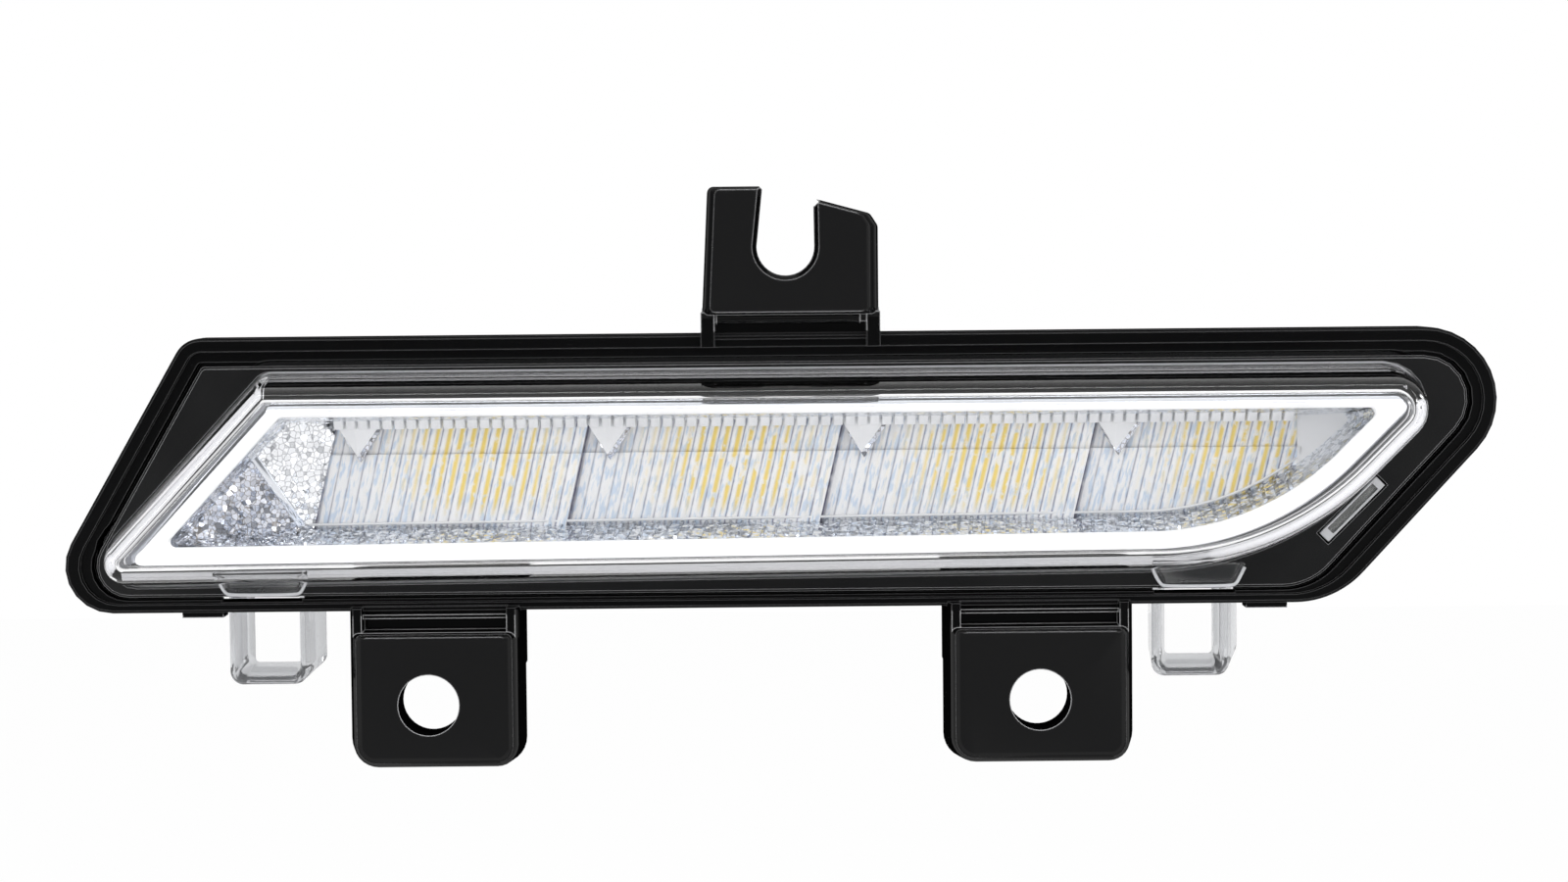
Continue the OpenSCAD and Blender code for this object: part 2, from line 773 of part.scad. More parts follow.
module link_wire(i) {
    x = 34 + 3 * i;
    color([0.7, 0.1, 0.1]) {
        translate([x, 20.4, 36.2])
            cylinder(r = 0.7, h = board_low - 36.2);
        translate([x, 20.4 + 0.9, 36.2])
            rotate([-90, 0, -90])
                rotate_extrude(angle = 90)
                    translate([0.9, 0])
                        circle(r = 0.7);
        post(x, 35.3, 21.3, 22, 0.7);
    }
}

module breather_vent() {
    color([0.1, 0.1, 0.1])
        difference() {
            union() {
                post(vent_at[0], vent_at[1], tub_rear + 1, tub_rear + 6, 6.2);
                post(vent_at[0], vent_at[1], tub_rear + 5.9, tub_rear + 6.6, 5.4);
            }
            post(vent_at[0], vent_at[1], tub_rear, tub_rear + 4.1, 4.7);
            for (a = [0 : 60 : 300])
                translate([vent_at[0] + 5.6 * cos(a), tub_rear, vent_at[1] + 5.6 * sin(a)])
                    rotate([-90, 0, 0])
                        cylinder(r = 0.5, h = 5);
        }
}

rear_housing();
front_bezel();
outer_lens();
lens_seal();
reflector();
led_board();
led(0);  // led_1
led(1);  // led_2
led(2);  // led_3
led(3);  // led_4
heat_sink();
led_board_screws();
driver_board();
driver_chip();
inductor();
capacitor(0);  // capacitor_1
capacitor(1);  // capacitor_2
diode();
driver_screws();
reflector_screws();
pin(0);  // pin_1
pin(1);  // pin_2
link_wire(0);  // link_wire_1
link_wire(1);  // link_wire_2
breather_vent();
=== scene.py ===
"""Daytime running light: clear domed lens, fluted reflector, black housing and its studio."""
import math

import bpy
import bmesh
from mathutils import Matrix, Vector


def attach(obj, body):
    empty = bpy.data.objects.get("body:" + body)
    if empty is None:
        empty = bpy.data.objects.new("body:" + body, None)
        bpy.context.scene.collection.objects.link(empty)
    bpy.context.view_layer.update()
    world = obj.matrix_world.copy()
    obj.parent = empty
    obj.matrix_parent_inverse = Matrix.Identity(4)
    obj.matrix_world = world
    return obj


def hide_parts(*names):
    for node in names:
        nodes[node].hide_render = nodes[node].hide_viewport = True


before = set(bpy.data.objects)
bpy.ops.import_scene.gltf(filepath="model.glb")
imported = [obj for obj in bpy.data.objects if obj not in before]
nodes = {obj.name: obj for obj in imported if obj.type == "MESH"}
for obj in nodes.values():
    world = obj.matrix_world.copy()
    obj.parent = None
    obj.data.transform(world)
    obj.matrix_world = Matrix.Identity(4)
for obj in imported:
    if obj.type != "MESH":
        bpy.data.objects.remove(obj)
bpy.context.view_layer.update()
MM = 0.001

# Camera: slightly above the lamp, turned a hair clockwise.
scene = bpy.context.scene
camera_data = bpy.data.cameras.new("camera")
camera_data.lens = 78.678
camera_data.sensor_width = 36.0
camera_data.clip_start = 0.01
camera_data.clip_end = 20.0
camera = bpy.data.objects.new("camera", camera_data)
scene.collection.objects.link(camera)
camera.location = (0.00725, -0.4752, 0.0639)
camera.rotation_euler = (math.radians(86.7), 0.0, 0.0)
camera.rotation_euler.rotate_axis("Z", math.radians(-0.55))
scene.camera = camera
scene.view_settings.view_transform = "Standard"

# Outline of the lens, the same corner points and radii as the solids, in millimetres.
LENS = [(-93.5, 16.4), (76.8, 17.6), (105.8, 46.4), (-65.8, 46.4)]
LENS_RADII = [4.2, 44.0, 6.0, 2.6]
CORNER_STEPS = 12
SWEEP_RADIUS = 20.0
FLUTE_ANGLE = math.radians(13)
SMOOTH_ANGLE = math.radians(32)

# Six faces of a block whose corners are listed as four in front, then the same four behind.
BLOCK_FACES = ((0, 1, 2, 3), (4, 7, 6, 5), (0, 4, 5, 1), (1, 5, 6, 2), (2, 6, 7, 3), (3, 7, 4, 0))


def direction(a, b):
    """Unit step from one (x, z) point towards another."""
    length = math.hypot(b[0] - a[0], b[1] - a[1])
    return ((b[0] - a[0]) / length, (b[1] - a[1]) / length)


def clamp(value):
    return max(0.0, min(1.0, value))


def inset_corners(points, margins):
    """Corners of the outline whose sides are moved inwards, each by its own margin."""
    lines = []
    for i, p in enumerate(points):
        q = points[(i + 1) % len(points)]
        u = direction(p, q)
        lines.append(((p[0] - u[1] * margins[i], p[1] + u[0] * margins[i]), u))
    corners = []
    for i in range(len(points)):
        (p, u), (q, w) = lines[i - 1], lines[i]
        t = ((q[0] - p[0]) * w[1] - (q[1] - p[1]) * w[0]) / (u[0] * w[1] - u[1] * w[0])
        corners.append((p[0] + u[0] * t, p[1] + u[1] * t))
    return corners


def lens_ring(margin):
    """Rounded outline of the lens drawn inwards by one margin, or by one for each side."""
    margins = margin if isinstance(margin, (list, tuple)) else [margin] * len(LENS)
    corners = inset_corners(LENS, margins)
    result = []
    for i, v in enumerate(corners):
        u = direction(corners[i - 1], v)
        w = direction(v, corners[(i + 1) % len(corners)])
        turn = math.acos(max(-1.0, min(1.0, u[0] * w[0] + u[1] * w[1])))
        r = max(LENS_RADII[i] - margins[i], 0.8)
        back = r * math.tan(turn / 2)
        cx, cz = v[0] - u[0] * back - u[1] * r, v[1] - u[1] * back + u[0] * r
        start = math.atan2(-u[0], u[1])
        steps = CORNER_STEPS * 3 if LENS_RADII[i] > SWEEP_RADIUS else CORNER_STEPS
        for k in range(steps + 1):
            angle = start + turn * k / steps
            result.append((cx + r * math.cos(angle), cz + r * math.sin(angle)))
    return result


def smooth_profile(points, rounds):
    """Open list of value tuples with its corners cut off again and again, ends kept."""
    for _ in range(rounds):
        out = [points[0]]
        for a, b in zip(points[:-1], points[1:]):
            out.append(tuple(0.75 * p + 0.25 * q for p, q in zip(a, b)))
            out.append(tuple(0.25 * p + 0.75 * q for p, q in zip(a, b)))
        out.append(points[-1])
        points = out
    return points


def new_object(name, verts, faces):
    """Smooth shaded object in the scene from points in millimetres."""
    mesh = bpy.data.meshes.new(name)
    mesh.from_pydata([(x * MM, y * MM, z * MM) for x, y, z in verts], [], faces)
    for poly in mesh.polygons:
        poly.use_smooth = True
    obj = bpy.data.objects.new(name, mesh)
    scene.collection.objects.link(obj)
    return obj


def piece(name, verts, faces, merge=0.0):
    """Object whose faces all look outwards; points nearer than merge become one."""
    obj = new_object(name, verts, faces)
    bm = bmesh.new()
    bm.from_mesh(obj.data)
    if merge:
        bmesh.ops.remove_doubles(bm, verts=bm.verts, dist=merge * MM)
    bmesh.ops.recalc_face_normals(bm, faces=bm.faces)
    bm.to_mesh(obj.data)
    bm.free()
    return obj


def sharpen(obj, degrees):
    obj.data.set_sharp_from_angle(angle=math.radians(degrees))


def bevel(obj, width, segments, degrees):
    mod = obj.modifiers.new("rounded edges", "BEVEL")
    mod.width = width * MM
    mod.segments = segments
    mod.limit_method = "ANGLE"
    mod.angle_limit = math.radians(degrees)
    mod.harden_normals = False


def smooth_by_angle():
    """Node tool that shades a piece smooth and breaks the shading at its sharp edges."""
    group = bpy.data.node_groups.new("smooth by angle", "GeometryNodeTree")
    group.interface.new_socket("Geometry", in_out="INPUT", socket_type="NodeSocketGeometry")
    group.interface.new_socket("Geometry", in_out="OUTPUT", socket_type="NodeSocketGeometry")
    source = group.nodes.new("NodeGroupInput")
    result = group.nodes.new("NodeGroupOutput")
    angle = group.nodes.new("GeometryNodeInputMeshEdgeAngle")
    over = group.nodes.new("FunctionNodeCompare")
    over.data_type = "FLOAT"
    over.operation = "GREATER_THAN"
    over.inputs["B"].default_value = SMOOTH_ANGLE
    soft = group.nodes.new("GeometryNodeSetShadeSmooth")
    soft.domain = "FACE"
    sharp = group.nodes.new("GeometryNodeSetShadeSmooth")
    sharp.domain = "EDGE"
    sharp.inputs["Shade Smooth"].default_value = False
    group.links.new(angle.outputs["Unsigned Angle"], over.inputs["A"])
    group.links.new(source.outputs["Geometry"], soft.inputs["Geometry"])
    group.links.new(soft.outputs["Geometry"], sharp.inputs["Geometry"])
    group.links.new(over.outputs["Result"], sharp.inputs["Selection"])
    group.links.new(sharp.outputs["Geometry"], result.inputs["Geometry"])
    return group


SMOOTH_EDGES = smooth_by_angle()


def smooth_edges(obj):
    mod = obj.modifiers.new("shading", "NODES")
    mod.node_group = SMOOTH_EDGES


def loft(rings, close_first=False, close_last=False):
    """Faces between rings of (x, y, z) with equal counts."""
    verts, faces = [], []
    for ring in rings:
        verts += ring
    n = len(rings[0])
    for j in range(len(rings) - 1):
        for i in range(n):
            k = (i + 1) % n
            faces.append((j * n + i, j * n + k, (j + 1) * n + k, (j + 1) * n + i))
    if close_first:
        faces.append(tuple(range(n - 1, -1, -1)))
    if close_last:
        faces.append(tuple((len(rings) - 1) * n + i for i in range(n)))
    return verts, faces


def flat_ring(points, depth):
    return [(x, depth, z) for x, z in points]


def prism(points, front, back):
    """Closed solid from an (x, z) outline between two planes of y."""
    n = len(points)
    verts = flat_ring(points, front) + flat_ring(points, back)
    faces = [tuple(range(n)), tuple(range(2 * n - 1, n - 1, -1))]
    faces += [(i, i + n, (i + 1) % n + n, (i + 1) % n) for i in range(n)]
    return verts, faces


def bead_along(name, path, wide, deep):
    """Round bead that follows (x, y, z) points; wide is half its width across, deep half its depth."""
    rings = []
    for i, (px, py, pz) in enumerate(path):
        a, b = path[max(i - 1, 0)], path[min(i + 1, len(path) - 1)]
        u = direction((a[0], a[2]), (b[0], b[2]))
        ring = []
        for k in range(10):
            t = math.tau * k / 10
            across = wide * math.cos(t)
            ring.append((px - u[1] * across, py - deep * math.sin(t), pz + u[0] * across))
        rings.append(ring)
    verts, faces = loft(rings, True, True)
    return piece(name, verts, faces)


# Materials. Heights in metres where ears and fork begin, for painted edge highlights and for textured faces.

EAR_ROOT, FORK_ROOT = 0.0125, 0.0517
EAR_FACE, FORK_FACE = 0.0096, 0.0536
PAD_WARP = 0.0006


def new_material(name):
    mat = bpy.data.materials.new(name)
    mat.use_nodes = True
    tree = mat.node_tree
    tree.nodes.clear()
    out = tree.nodes.new("ShaderNodeOutputMaterial")
    shader = tree.nodes.new("ShaderNodeBsdfPrincipled")
    tree.links.new(shader.outputs["BSDF"], out.inputs["Surface"])
    return mat, tree, shader


def feed(tree, item, socket):
    """Puts a value, a colour or another node's output into a socket."""
    if isinstance(item, (int, float)):
        socket.default_value = item
    elif isinstance(item, tuple):
        socket.default_value = (*item, 1) if socket.type == "RGBA" else item
    else:
        tree.links.new(item, socket)


def ramp(tree, source, stops):
    node = tree.nodes.new("ShaderNodeValToRGB")
    while len(node.color_ramp.elements) < len(stops):
        node.color_ramp.elements.new(0.5)
    for element, (pos, value) in zip(node.color_ramp.elements, stops):
        element.position = pos
        element.color = (*value, 1) if isinstance(value, tuple) else (value, value, value, 1)
    tree.links.new(source, node.inputs["Fac"])
    return node.outputs["Color"]


def drift(tree, source, stops, socket):
    tree.links.new(ramp(tree, source, stops), socket)


def math_node(tree, operation, *items):
    node = tree.nodes.new("ShaderNodeMath")
    node.operation = operation
    for item, socket in zip(items, node.inputs):
        feed(tree, item, socket)
    return node.outputs["Value"]


def vector_node(tree, operation, *items):
    node = tree.nodes.new("ShaderNodeVectorMath")
    node.operation = operation
    for item, socket in zip(items, node.inputs):
        feed(tree, item, socket)
    return node.outputs["Value" if operation == "DOT_PRODUCT" else "Vector"]


def mixed(tree, factor, first, second):
    node = tree.nodes.new("ShaderNodeMix")
    node.data_type = "RGBA"
    feed(tree, factor, node.inputs["Factor"])
    feed(tree, first, node.inputs["A"])
    feed(tree, second, node.inputs["B"])
    return node.outputs["Result"]


def noise(tree, vector, scale, detail):
    node = tree.nodes.new("ShaderNodeTexNoise")
    node.inputs["Detail"].default_value = detail
    feed(tree, scale, node.inputs["Scale"])
    tree.links.new(vector, node.inputs["Vector"])
    return node


def object_place(tree):
    return tree.nodes.new("ShaderNodeTexCoord").outputs["Object"]


def bumped(tree, shader, height, strength, distance):
    """Bump from a pattern of heights; distance is its full height in millimetres."""
    bump = tree.nodes.new("ShaderNodeBump")
    bump.inputs["Strength"].default_value = strength
    bump.inputs["Distance"].default_value = distance * MM
    tree.links.new(height, bump.inputs["Height"])
    tree.links.new(bump.outputs["Normal"], shader.inputs["Normal"])


def new_group(name, inputs, outputs):
    """Shader node group with its sockets; gives the group and its input and output nodes."""
    group = bpy.data.node_groups.new(name, "ShaderNodeTree")
    for label, kind in inputs:
        group.interface.new_socket(label, in_out="INPUT", socket_type="NodeSocket" + kind)
    for label, kind in outputs:
        group.interface.new_socket(label, in_out="OUTPUT", socket_type="NodeSocket" + kind)
    return group, group.nodes.new("NodeGroupInput").outputs, group.nodes.new("NodeGroupOutput").inputs


def placed(tree, group, **values):
    """Places a group in a material; Grain_Size=900 sets its input Grain Size."""
    node = tree.nodes.new("ShaderNodeGroup")
    node.node_tree = group
    for label, value in values.items():
        feed(tree, value, node.inputs[label.replace("_", " ")])
    return node.outputs


def grain_group():
    """Fine moulded grain: a height for the bump and a mask of soft mottling."""
    group, given, result = new_group("moulded grain", [("Grain Size", "Float"), ("Mottle Size", "Float")],
                                     [("Height", "Float"), ("Mottle", "Float")])
    place = object_place(group)
    group.links.new(noise(group, place, given["Grain Size"], 3.0).outputs["Fac"], result["Height"])
    group.links.new(noise(group, place, given["Mottle Size"], 4.0).outputs["Fac"], result["Mottle"])
    return group


def edge_highlight_group():
    """Painted edge highlights: where the rounded normal leaves the true one the colour lifts to the tone."""
    group, given, result = new_group(
        "painted edge highlights",
        [("Colour", "Color"), ("Tone", "Color"), ("Radius", "Float"), ("Strength", "Float"),
         ("On Rim", "Float")],
        [("Colour", "Color")])
    rounded = group.nodes.new("ShaderNodeBevel")
    rounded.samples = 6
    group.links.new(given["Radius"], rounded.inputs["Radius"])
    true = group.nodes.new("ShaderNodeNewGeometry")
    facing = vector_node(group, "DOT_PRODUCT", rounded.outputs["Normal"], true.outputs["Normal"])
    # Painted highlight: the colour lifts towards a pale tone along rounded edges.
    edge = math_node(group, "MULTIPLY", ramp(group, facing, [(0.8, 1.0), (0.99, 0.0)]), given["Strength"])
    share = math_node(group, "MAXIMUM", on_brackets(group, EAR_ROOT, FORK_ROOT), given["On Rim"])
    painted_light = math_node(group, "MULTIPLY", edge, share)
    group.links.new(mixed(group, painted_light, given["Colour"], given["Tone"]), result["Colour"])
    return group


def on_brackets(tree, low, high):
    """Mask of the ears below one height and the fork above another, both in metres."""
    place = tree.nodes.new("ShaderNodeSeparateXYZ")
    tree.links.new(object_place(tree), place.inputs["Vector"])
    below = math_node(tree, "LESS_THAN", place.outputs["Z"], low)
    above = math_node(tree, "GREATER_THAN", place.outputs["Z"], high)
    return math_node(tree, "MAXIMUM", below, above)


def pad_group():
    """Small flat pads, each tilted its own way, with darker lines between them."""
    group, given, result = new_group(
        "tilted pads",
        [("Scale", "Float"), ("Tilt", "Float"), ("Seam Width", "Float"), ("Tone", "Color"),
         ("Seam Tone", "Color")],
        [("Colour", "Color"), ("Normal", "Vector")])
    place = object_place(group)
    warp = noise(group, place, math_node(group, "MULTIPLY", given["Scale"], 0.5), 2.0)
    shift = vector_node(group, "MULTIPLY_ADD", warp.outputs["Color"], (PAD_WARP, PAD_WARP, PAD_WARP), place)
    pads = group.nodes.new("ShaderNodeTexVoronoi")
    dark_lines = group.nodes.new("ShaderNodeTexVoronoi")
    dark_lines.feature = "DISTANCE_TO_EDGE"
    for node in (pads, dark_lines):
        node.inputs["Randomness"].default_value = 0.75
        group.links.new(given["Scale"], node.inputs["Scale"])
        group.links.new(shift, node.inputs["Vector"])
    centred = vector_node(group, "SUBTRACT", pads.outputs["Color"], (0.5, 0.5, 0.5))
    true = group.nodes.new("ShaderNodeNewGeometry")
    lean = vector_node(group, "MULTIPLY_ADD", centred, given["Tilt"], true.outputs["Normal"])
    group.links.new(vector_node(group, "NORMALIZE", lean), result["Normal"])
    away = math_node(group, "DIVIDE", dark_lines.outputs["Distance"], given["Seam Width"])
    dark_line = math_node(group, "SUBTRACT", 1.0, math_node(group, "MINIMUM", away, 1.0))
    group.links.new(mixed(group, dark_line, given["Tone"], given["Seam Tone"]), result["Colour"])
    return group


def ripple_group():
    """Hammered skin of small soft facets: a height for the bump and a mask of ripples."""
    group, given, result = new_group("hammered ripples", [("Scale", "Float")],
                                     [("Height", "Float"), ("Ripple", "Float")])
    place = object_place(group)
    facets = group.nodes.new("ShaderNodeTexVoronoi")
    facets.feature = "SMOOTH_F1"
    facets.inputs["Smoothness"].default_value = 0.35
    group.links.new(given["Scale"], facets.inputs["Scale"])
    group.links.new(place, facets.inputs["Vector"])
    ripple = noise(group, place, math_node(group, "MULTIPLY", given["Scale"], 0.6), 4.0).outputs["Fac"]
    group.links.new(math_node(group, "ADD", facets.outputs["Distance"], ripple), result["Height"])
    group.links.new(ripple, result["Ripple"])
    return group


GRAIN = grain_group()
EDGE_HIGHLIGHTS = edge_highlight_group()
TILTED_PADS = pad_group()
RIPPLES = ripple_group()


def textured_plates(tree, shader, tone):
    """Fine grey texture on the front faces of the ears and the fork, weaker gloss at a glance."""
    coord = tree.nodes.new("ShaderNodeTexCoord")
    face = tree.nodes.new("ShaderNodeSeparateXYZ")
    tree.links.new(coord.outputs["Normal"], face.inputs["Vector"])
    ahead = math_node(tree, "LESS_THAN", face.outputs["Y"], -0.93)
    mask = math_node(tree, "MULTIPLY", on_brackets(tree, EAR_FACE, FORK_FACE), ahead)
    plain = shader.inputs["Base Color"].links[0].from_socket
    tree.links.new(mixed(tree, mask, plain, tone), shader.inputs["Base Color"])
    glance = tree.nodes.new("ShaderNodeLayerWeight")
    glance.inputs["Blend"].default_value = 0.5
    drift(tree, glance.outputs["Facing"], [(0.3, 0.13), (0.75, 0.0)], shader.inputs["Specular IOR Level"])


def paint_edge_highlights(tree, shader, radius, strength, tone, on_rim):
    # Painted highlight: lighter lines along the rounded edges of the piece.
    plain = shader.inputs["Base Color"].links[0].from_socket
    painted_light = placed(tree, EDGE_HIGHLIGHTS, Colour=plain, Tone=(tone, tone, tone * 1.02), Radius=radius * MM,
                  Strength=strength, On_Rim=on_rim)
    tree.links.new(painted_light["Colour"], shader.inputs["Base Color"])


def moulded(name, dark, light, rough_low, rough_high, grain=900.0, height=0.02, specular=0.5, metal=0.0):
    """Moulded, cast or plated finish: colour and roughness drift between two values, fine grain on top."""
    mat, tree, shader = new_material(name)
    skin = placed(tree, GRAIN, Grain_Size=grain, Mottle_Size=grain / 14.0)
    drift(tree, skin["Mottle"], [(0.3, dark), (0.7, light)], shader.inputs["Base Color"])
    drift(tree, skin["Mottle"], [(0.3, rough_low), (0.7, rough_high)], shader.inputs["Roughness"])
    bumped(tree, shader, skin["Height"], 0.35, height)
    shader.inputs["Specular IOR Level"].default_value = specular
    shader.inputs["Metallic"].default_value = metal
    return mat


def black_housing():
    """Polished black moulding with textured plates on its brackets and painted highlights on its edges."""
    mat = moulded("black housing", (0.0014, 0.0014, 0.0015), (0.0022, 0.0022, 0.0023), 0.1, 0.17,
                  260.0, 0.004, 0.3)
    shader = mat.node_tree.nodes["Principled BSDF"]
    textured_plates(mat.node_tree, shader, (0.0085, 0.0085, 0.0087))
    paint_edge_highlights(mat.node_tree, shader, 0.3, 0.95, 0.55, 0.12)
    return mat


def black_bezel():
    mat = moulded("black bezel", (0.0018, 0.0018, 0.0019), (0.0027, 0.0027, 0.0028), 0.16, 0.22,
                  1200.0, 0.004, 0.4)
    # Painted highlights along the bezel's edges.
    paint_edge_highlights(mat.node_tree, mat.node_tree.nodes["Principled BSDF"], 0.2, 0.9, 0.6, 0.6)
    return mat


def clear_plastic(name, tint, clear, rough):
    """Clear moulded plastic: barely uneven surface, faint flow lines."""
    mat, tree, shader = new_material(name)
    shader.inputs["Base Color"].default_value = (*tint, 1)
    shader.inputs["Transmission Weight"].default_value = clear
    shader.inputs["Metallic"].default_value = 0.0
    shader.inputs["IOR"].default_value = 1.5
    skin = placed(tree, GRAIN, Grain_Size=45.0, Mottle_Size=25.0)
    drift(tree, skin["Mottle"], [(0.3, rough), (0.8, rough + 0.006)], shader.inputs["Roughness"])
    bumped(tree, shader, skin["Height"], 0.15, 0.06)
    return mat


def clear_lens():
    """Clear plastic that lets the light of lamps and room fall straight onto what lies behind it."""
    mat = clear_plastic("clear lens", (0.99, 0.992, 1.0), 1.0, 0.0)
    tree = mat.node_tree
    path = tree.nodes.new("ShaderNodeLightPath")
    passing = math_node(tree, "MAXIMUM", path.outputs["Is Shadow Ray"], path.outputs["Is Diffuse Ray"])
    straight = tree.nodes.new("ShaderNodeBsdfTransparent")
    straight.inputs["Color"].default_value = (1.0, 1.0, 1.0, 1)
    mix_shaders(tree, passing, straight.outputs["BSDF"])
    return mat


def mix_shaders(tree, share, other):
    """Mixes another shader over the material's own by a share."""
    mix = tree.nodes.new("ShaderNodeMixShader")
    tree.links.new(share, mix.inputs["Fac"])
    tree.links.new(tree.nodes["Principled BSDF"].outputs["BSDF"], mix.inputs[1])
    tree.links.new(other, mix.inputs[2])
    tree.links.new(mix.outputs["Shader"], tree.nodes["Material Output"].inputs["Surface"])


def padded_mirror(name, scale, tilt, seam_width, tone, seam_tone, rough):
    """Metallised plastic moulded in small flat pads."""
    mat, tree, shader = new_material(name)
    pads = placed(tree, TILTED_PADS, Scale=scale, Tilt=tilt, Seam_Width=seam_width, Tone=tone,
                  Seam_Tone=seam_tone)
    tree.links.new(pads["Colour"], shader.inputs["Base Color"])
    tree.links.new(pads["Normal"], shader.inputs["Normal"])
    shader.inputs["Metallic"].default_value = 1.0
    shader.inputs["Roughness"].default_value = rough
    return mat


def metallised(name, hammer, tone, rough, metal):
    """Vacuum metallised plastic with a faintly hammered surface."""
    mat, tree, shader = new_material(name)
    skin = placed(tree, RIPPLES, Scale=160.0)
    dull = tuple(0.9 * c for c in tone)
    drift(tree, skin["Ripple"], [(0.3, dull), (0.7, tone)], shader.inputs["Base Color"])
    drift(tree, skin["Ripple"], [(0.3, rough), (0.7, rough * 1.4)], shader.inputs["Roughness"])
    bumped(tree, shader, skin["Height"], 1.0, hammer)
    shader.inputs["Metallic"].default_value = metal
    return mat


def fluted_mirror():
    """Metallised flutes: streaky pale blue and white tint, thin lines of painted shade in the grooves, a
    painted reflection of the diodes' yellow in broken bars.
    """
    mat, tree, shader = new_material("fluted mirror")
    place = object_place(tree)
    upright = tree.nodes.new("ShaderNodeVectorRotate")
    upright.rotation_type = "Y_AXIS"
    upright.inputs["Angle"].default_value = -FLUTE_ANGLE
    tree.links.new(place, upright.inputs["Vector"])
    along = vector_node(tree, "MULTIPLY", upright.outputs["Vector"], (1.0, 0.3, 0.2))
    speckle = noise(tree, along, 2400.0, 2.0).outputs["Fac"]
    tint = ramp(tree, speckle, [(0.5, 0.0), (0.62, 1.0)])
    colour = mixed(tree, tint, (1.0, 1.0, 1.0), (0.7, 0.8, 0.93))
    # Painted shade: thin dark lines in the grooves between flutes and along the cell edges, broken up at
    # random.
    painted_light = ramp(tree, noise(tree, place, 600.0, 2.0).outputs["Fac"], [(0.3, 0.55), (0.55, 1.0)])
    dark_line = math_node(tree, "MULTIPLY", mesh_value(tree, "dark_line"), painted_light)
    colour = mixed(tree, dark_line, colour, (0.16, 0.15, 0.24))
    # Painted reflection: the diodes' yellow image on the flutes, in broken bars.
    broken = ramp(tree, noise(tree, place, 620.0, 2.0).outputs["Fac"], [(0.36, 0.2), (0.46, 1.0)])
    yellow = math_node(tree, "MULTIPLY", mesh_value(tree, "painted_reflection"), broken)
    colour = mixed(tree, yellow, colour, (1.0, 0.76, 0.2))
    tree.links.new(colour, shader.inputs["Base Color"])
    bumped(tree, shader, speckle, 0.6, 0.06)
    shader.inputs["Metallic"].default_value = 0.05
    shader.inputs["Roughness"].default_value = 0.2
    shader.inputs["Coat Weight"].default_value = 0.7
    shader.inputs["Coat Roughness"].default_value = 0.06
    return mat


def mesh_value(tree, name):
    node = tree.nodes.new("ShaderNodeAttribute")
    node.attribute_name = name
    return node.outputs["Fac"]


BLACK = black_housing()
BEZEL = black_bezel()
CLEAR = clear_lens()
SMOKY = clear_plastic("loop plastic", (0.72, 0.73, 0.75), 0.86, 0.04)
FROSTED = clear_plastic("frosted edge", (0.93, 0.94, 0.97), 0.55, 0.22)
FOOT = clear_plastic("frosted foot", (0.96, 0.96, 0.985), 0.15, 0.12)
HAZY = clear_plastic("hazy clip", (0.9, 0.92, 0.9), 0.85, 0.08)
MIRROR = metallised("smooth mirror", 0.01, (0.86, 0.88, 0.92), 0.05, 1.0)
SATIN = metallised("satin white", 0.003, (0.99, 0.99, 0.995), 0.42, 0.1)
HAMMERED = padded_mirror("hammered mirror", 1250.0, 0.42, 0.1, (0.96, 0.965, 0.98), (0.42, 0.43, 0.45), 0.16)
SPECKLED = padded_mirror("speckled mirror", 1500.0, 0.75, 0.09, (0.66, 0.68, 0.74), (0.3, 0.27, 0.24), 0.12)
PADS = padded_mirror("padded wall", 950.0, 0.4, 0.1, (0.93, 0.95, 0.98), (0.5, 0.54, 0.62), 0.14)
SILL = padded_mirror("sill pads", 1100.0, 0.7, 0.12, (0.8, 0.84, 0.9), (0.3, 0.33, 0.4), 0.14)
FLUTED = fluted_mirror()
SEALANT = moulded("sealant", (0.075, 0.07, 0.062), (0.1, 0.094, 0.083), 0.5, 0.7, 500.0, 0.05)
WHITE_BOARD = moulded("white board", (0.72, 0.73, 0.7), (0.78, 0.79, 0.76), 0.35, 0.5, 900.0, 0.01)
PHOSPHOR = moulded("phosphor", (0.85, 0.58, 0.1), (0.92, 0.68, 0.18), 0.4, 0.55, 2500.0, 0.01)
DRAWN = moulded("drawn aluminium", (0.55, 0.56, 0.58), (0.63, 0.64, 0.66), 0.3, 0.45, 800.0, 0.02, 0.5, 1.0)
STEEL = moulded("plated steel", (0.45, 0.45, 0.47), (0.58, 0.58, 0.6), 0.22, 0.36, 1500.0, 0.01, 0.5, 1.0)
GREEN_BOARD = moulded("green board", (0.01, 0.09, 0.04), (0.015, 0.12, 0.055), 0.3, 0.45, 900.0, 0.01)
PACKAGE = moulded("moulded package", (0.015, 0.015, 0.016), (0.025, 0.025, 0.026), 0.4, 0.6, 1500.0, 0.02)
CAN = moulded("aluminium can", (0.6, 0.61, 0.63), (0.68, 0.69, 0.71), 0.2, 0.3, 1200.0, 0.01, 0.5, 1.0)
PIN = moulded("tinned pin", (0.62, 0.55, 0.38), (0.72, 0.64, 0.45), 0.2, 0.3, 1500.0, 0.008, 0.5, 1.0)
SLEEVE = moulded("red sleeve", (0.35, 0.02, 0.015), (0.45, 0.03, 0.02), 0.4, 0.5, 1200.0, 0.02)
RUBBER = moulded("vent rubber", (0.012, 0.012, 0.012), (0.02, 0.02, 0.02), 0.5, 0.65, 800.0, 0.03, 0.35)


def dress(obj, mat):
    obj.data.materials.clear()
    obj.data.materials.append(mat)


# Solids that stay.


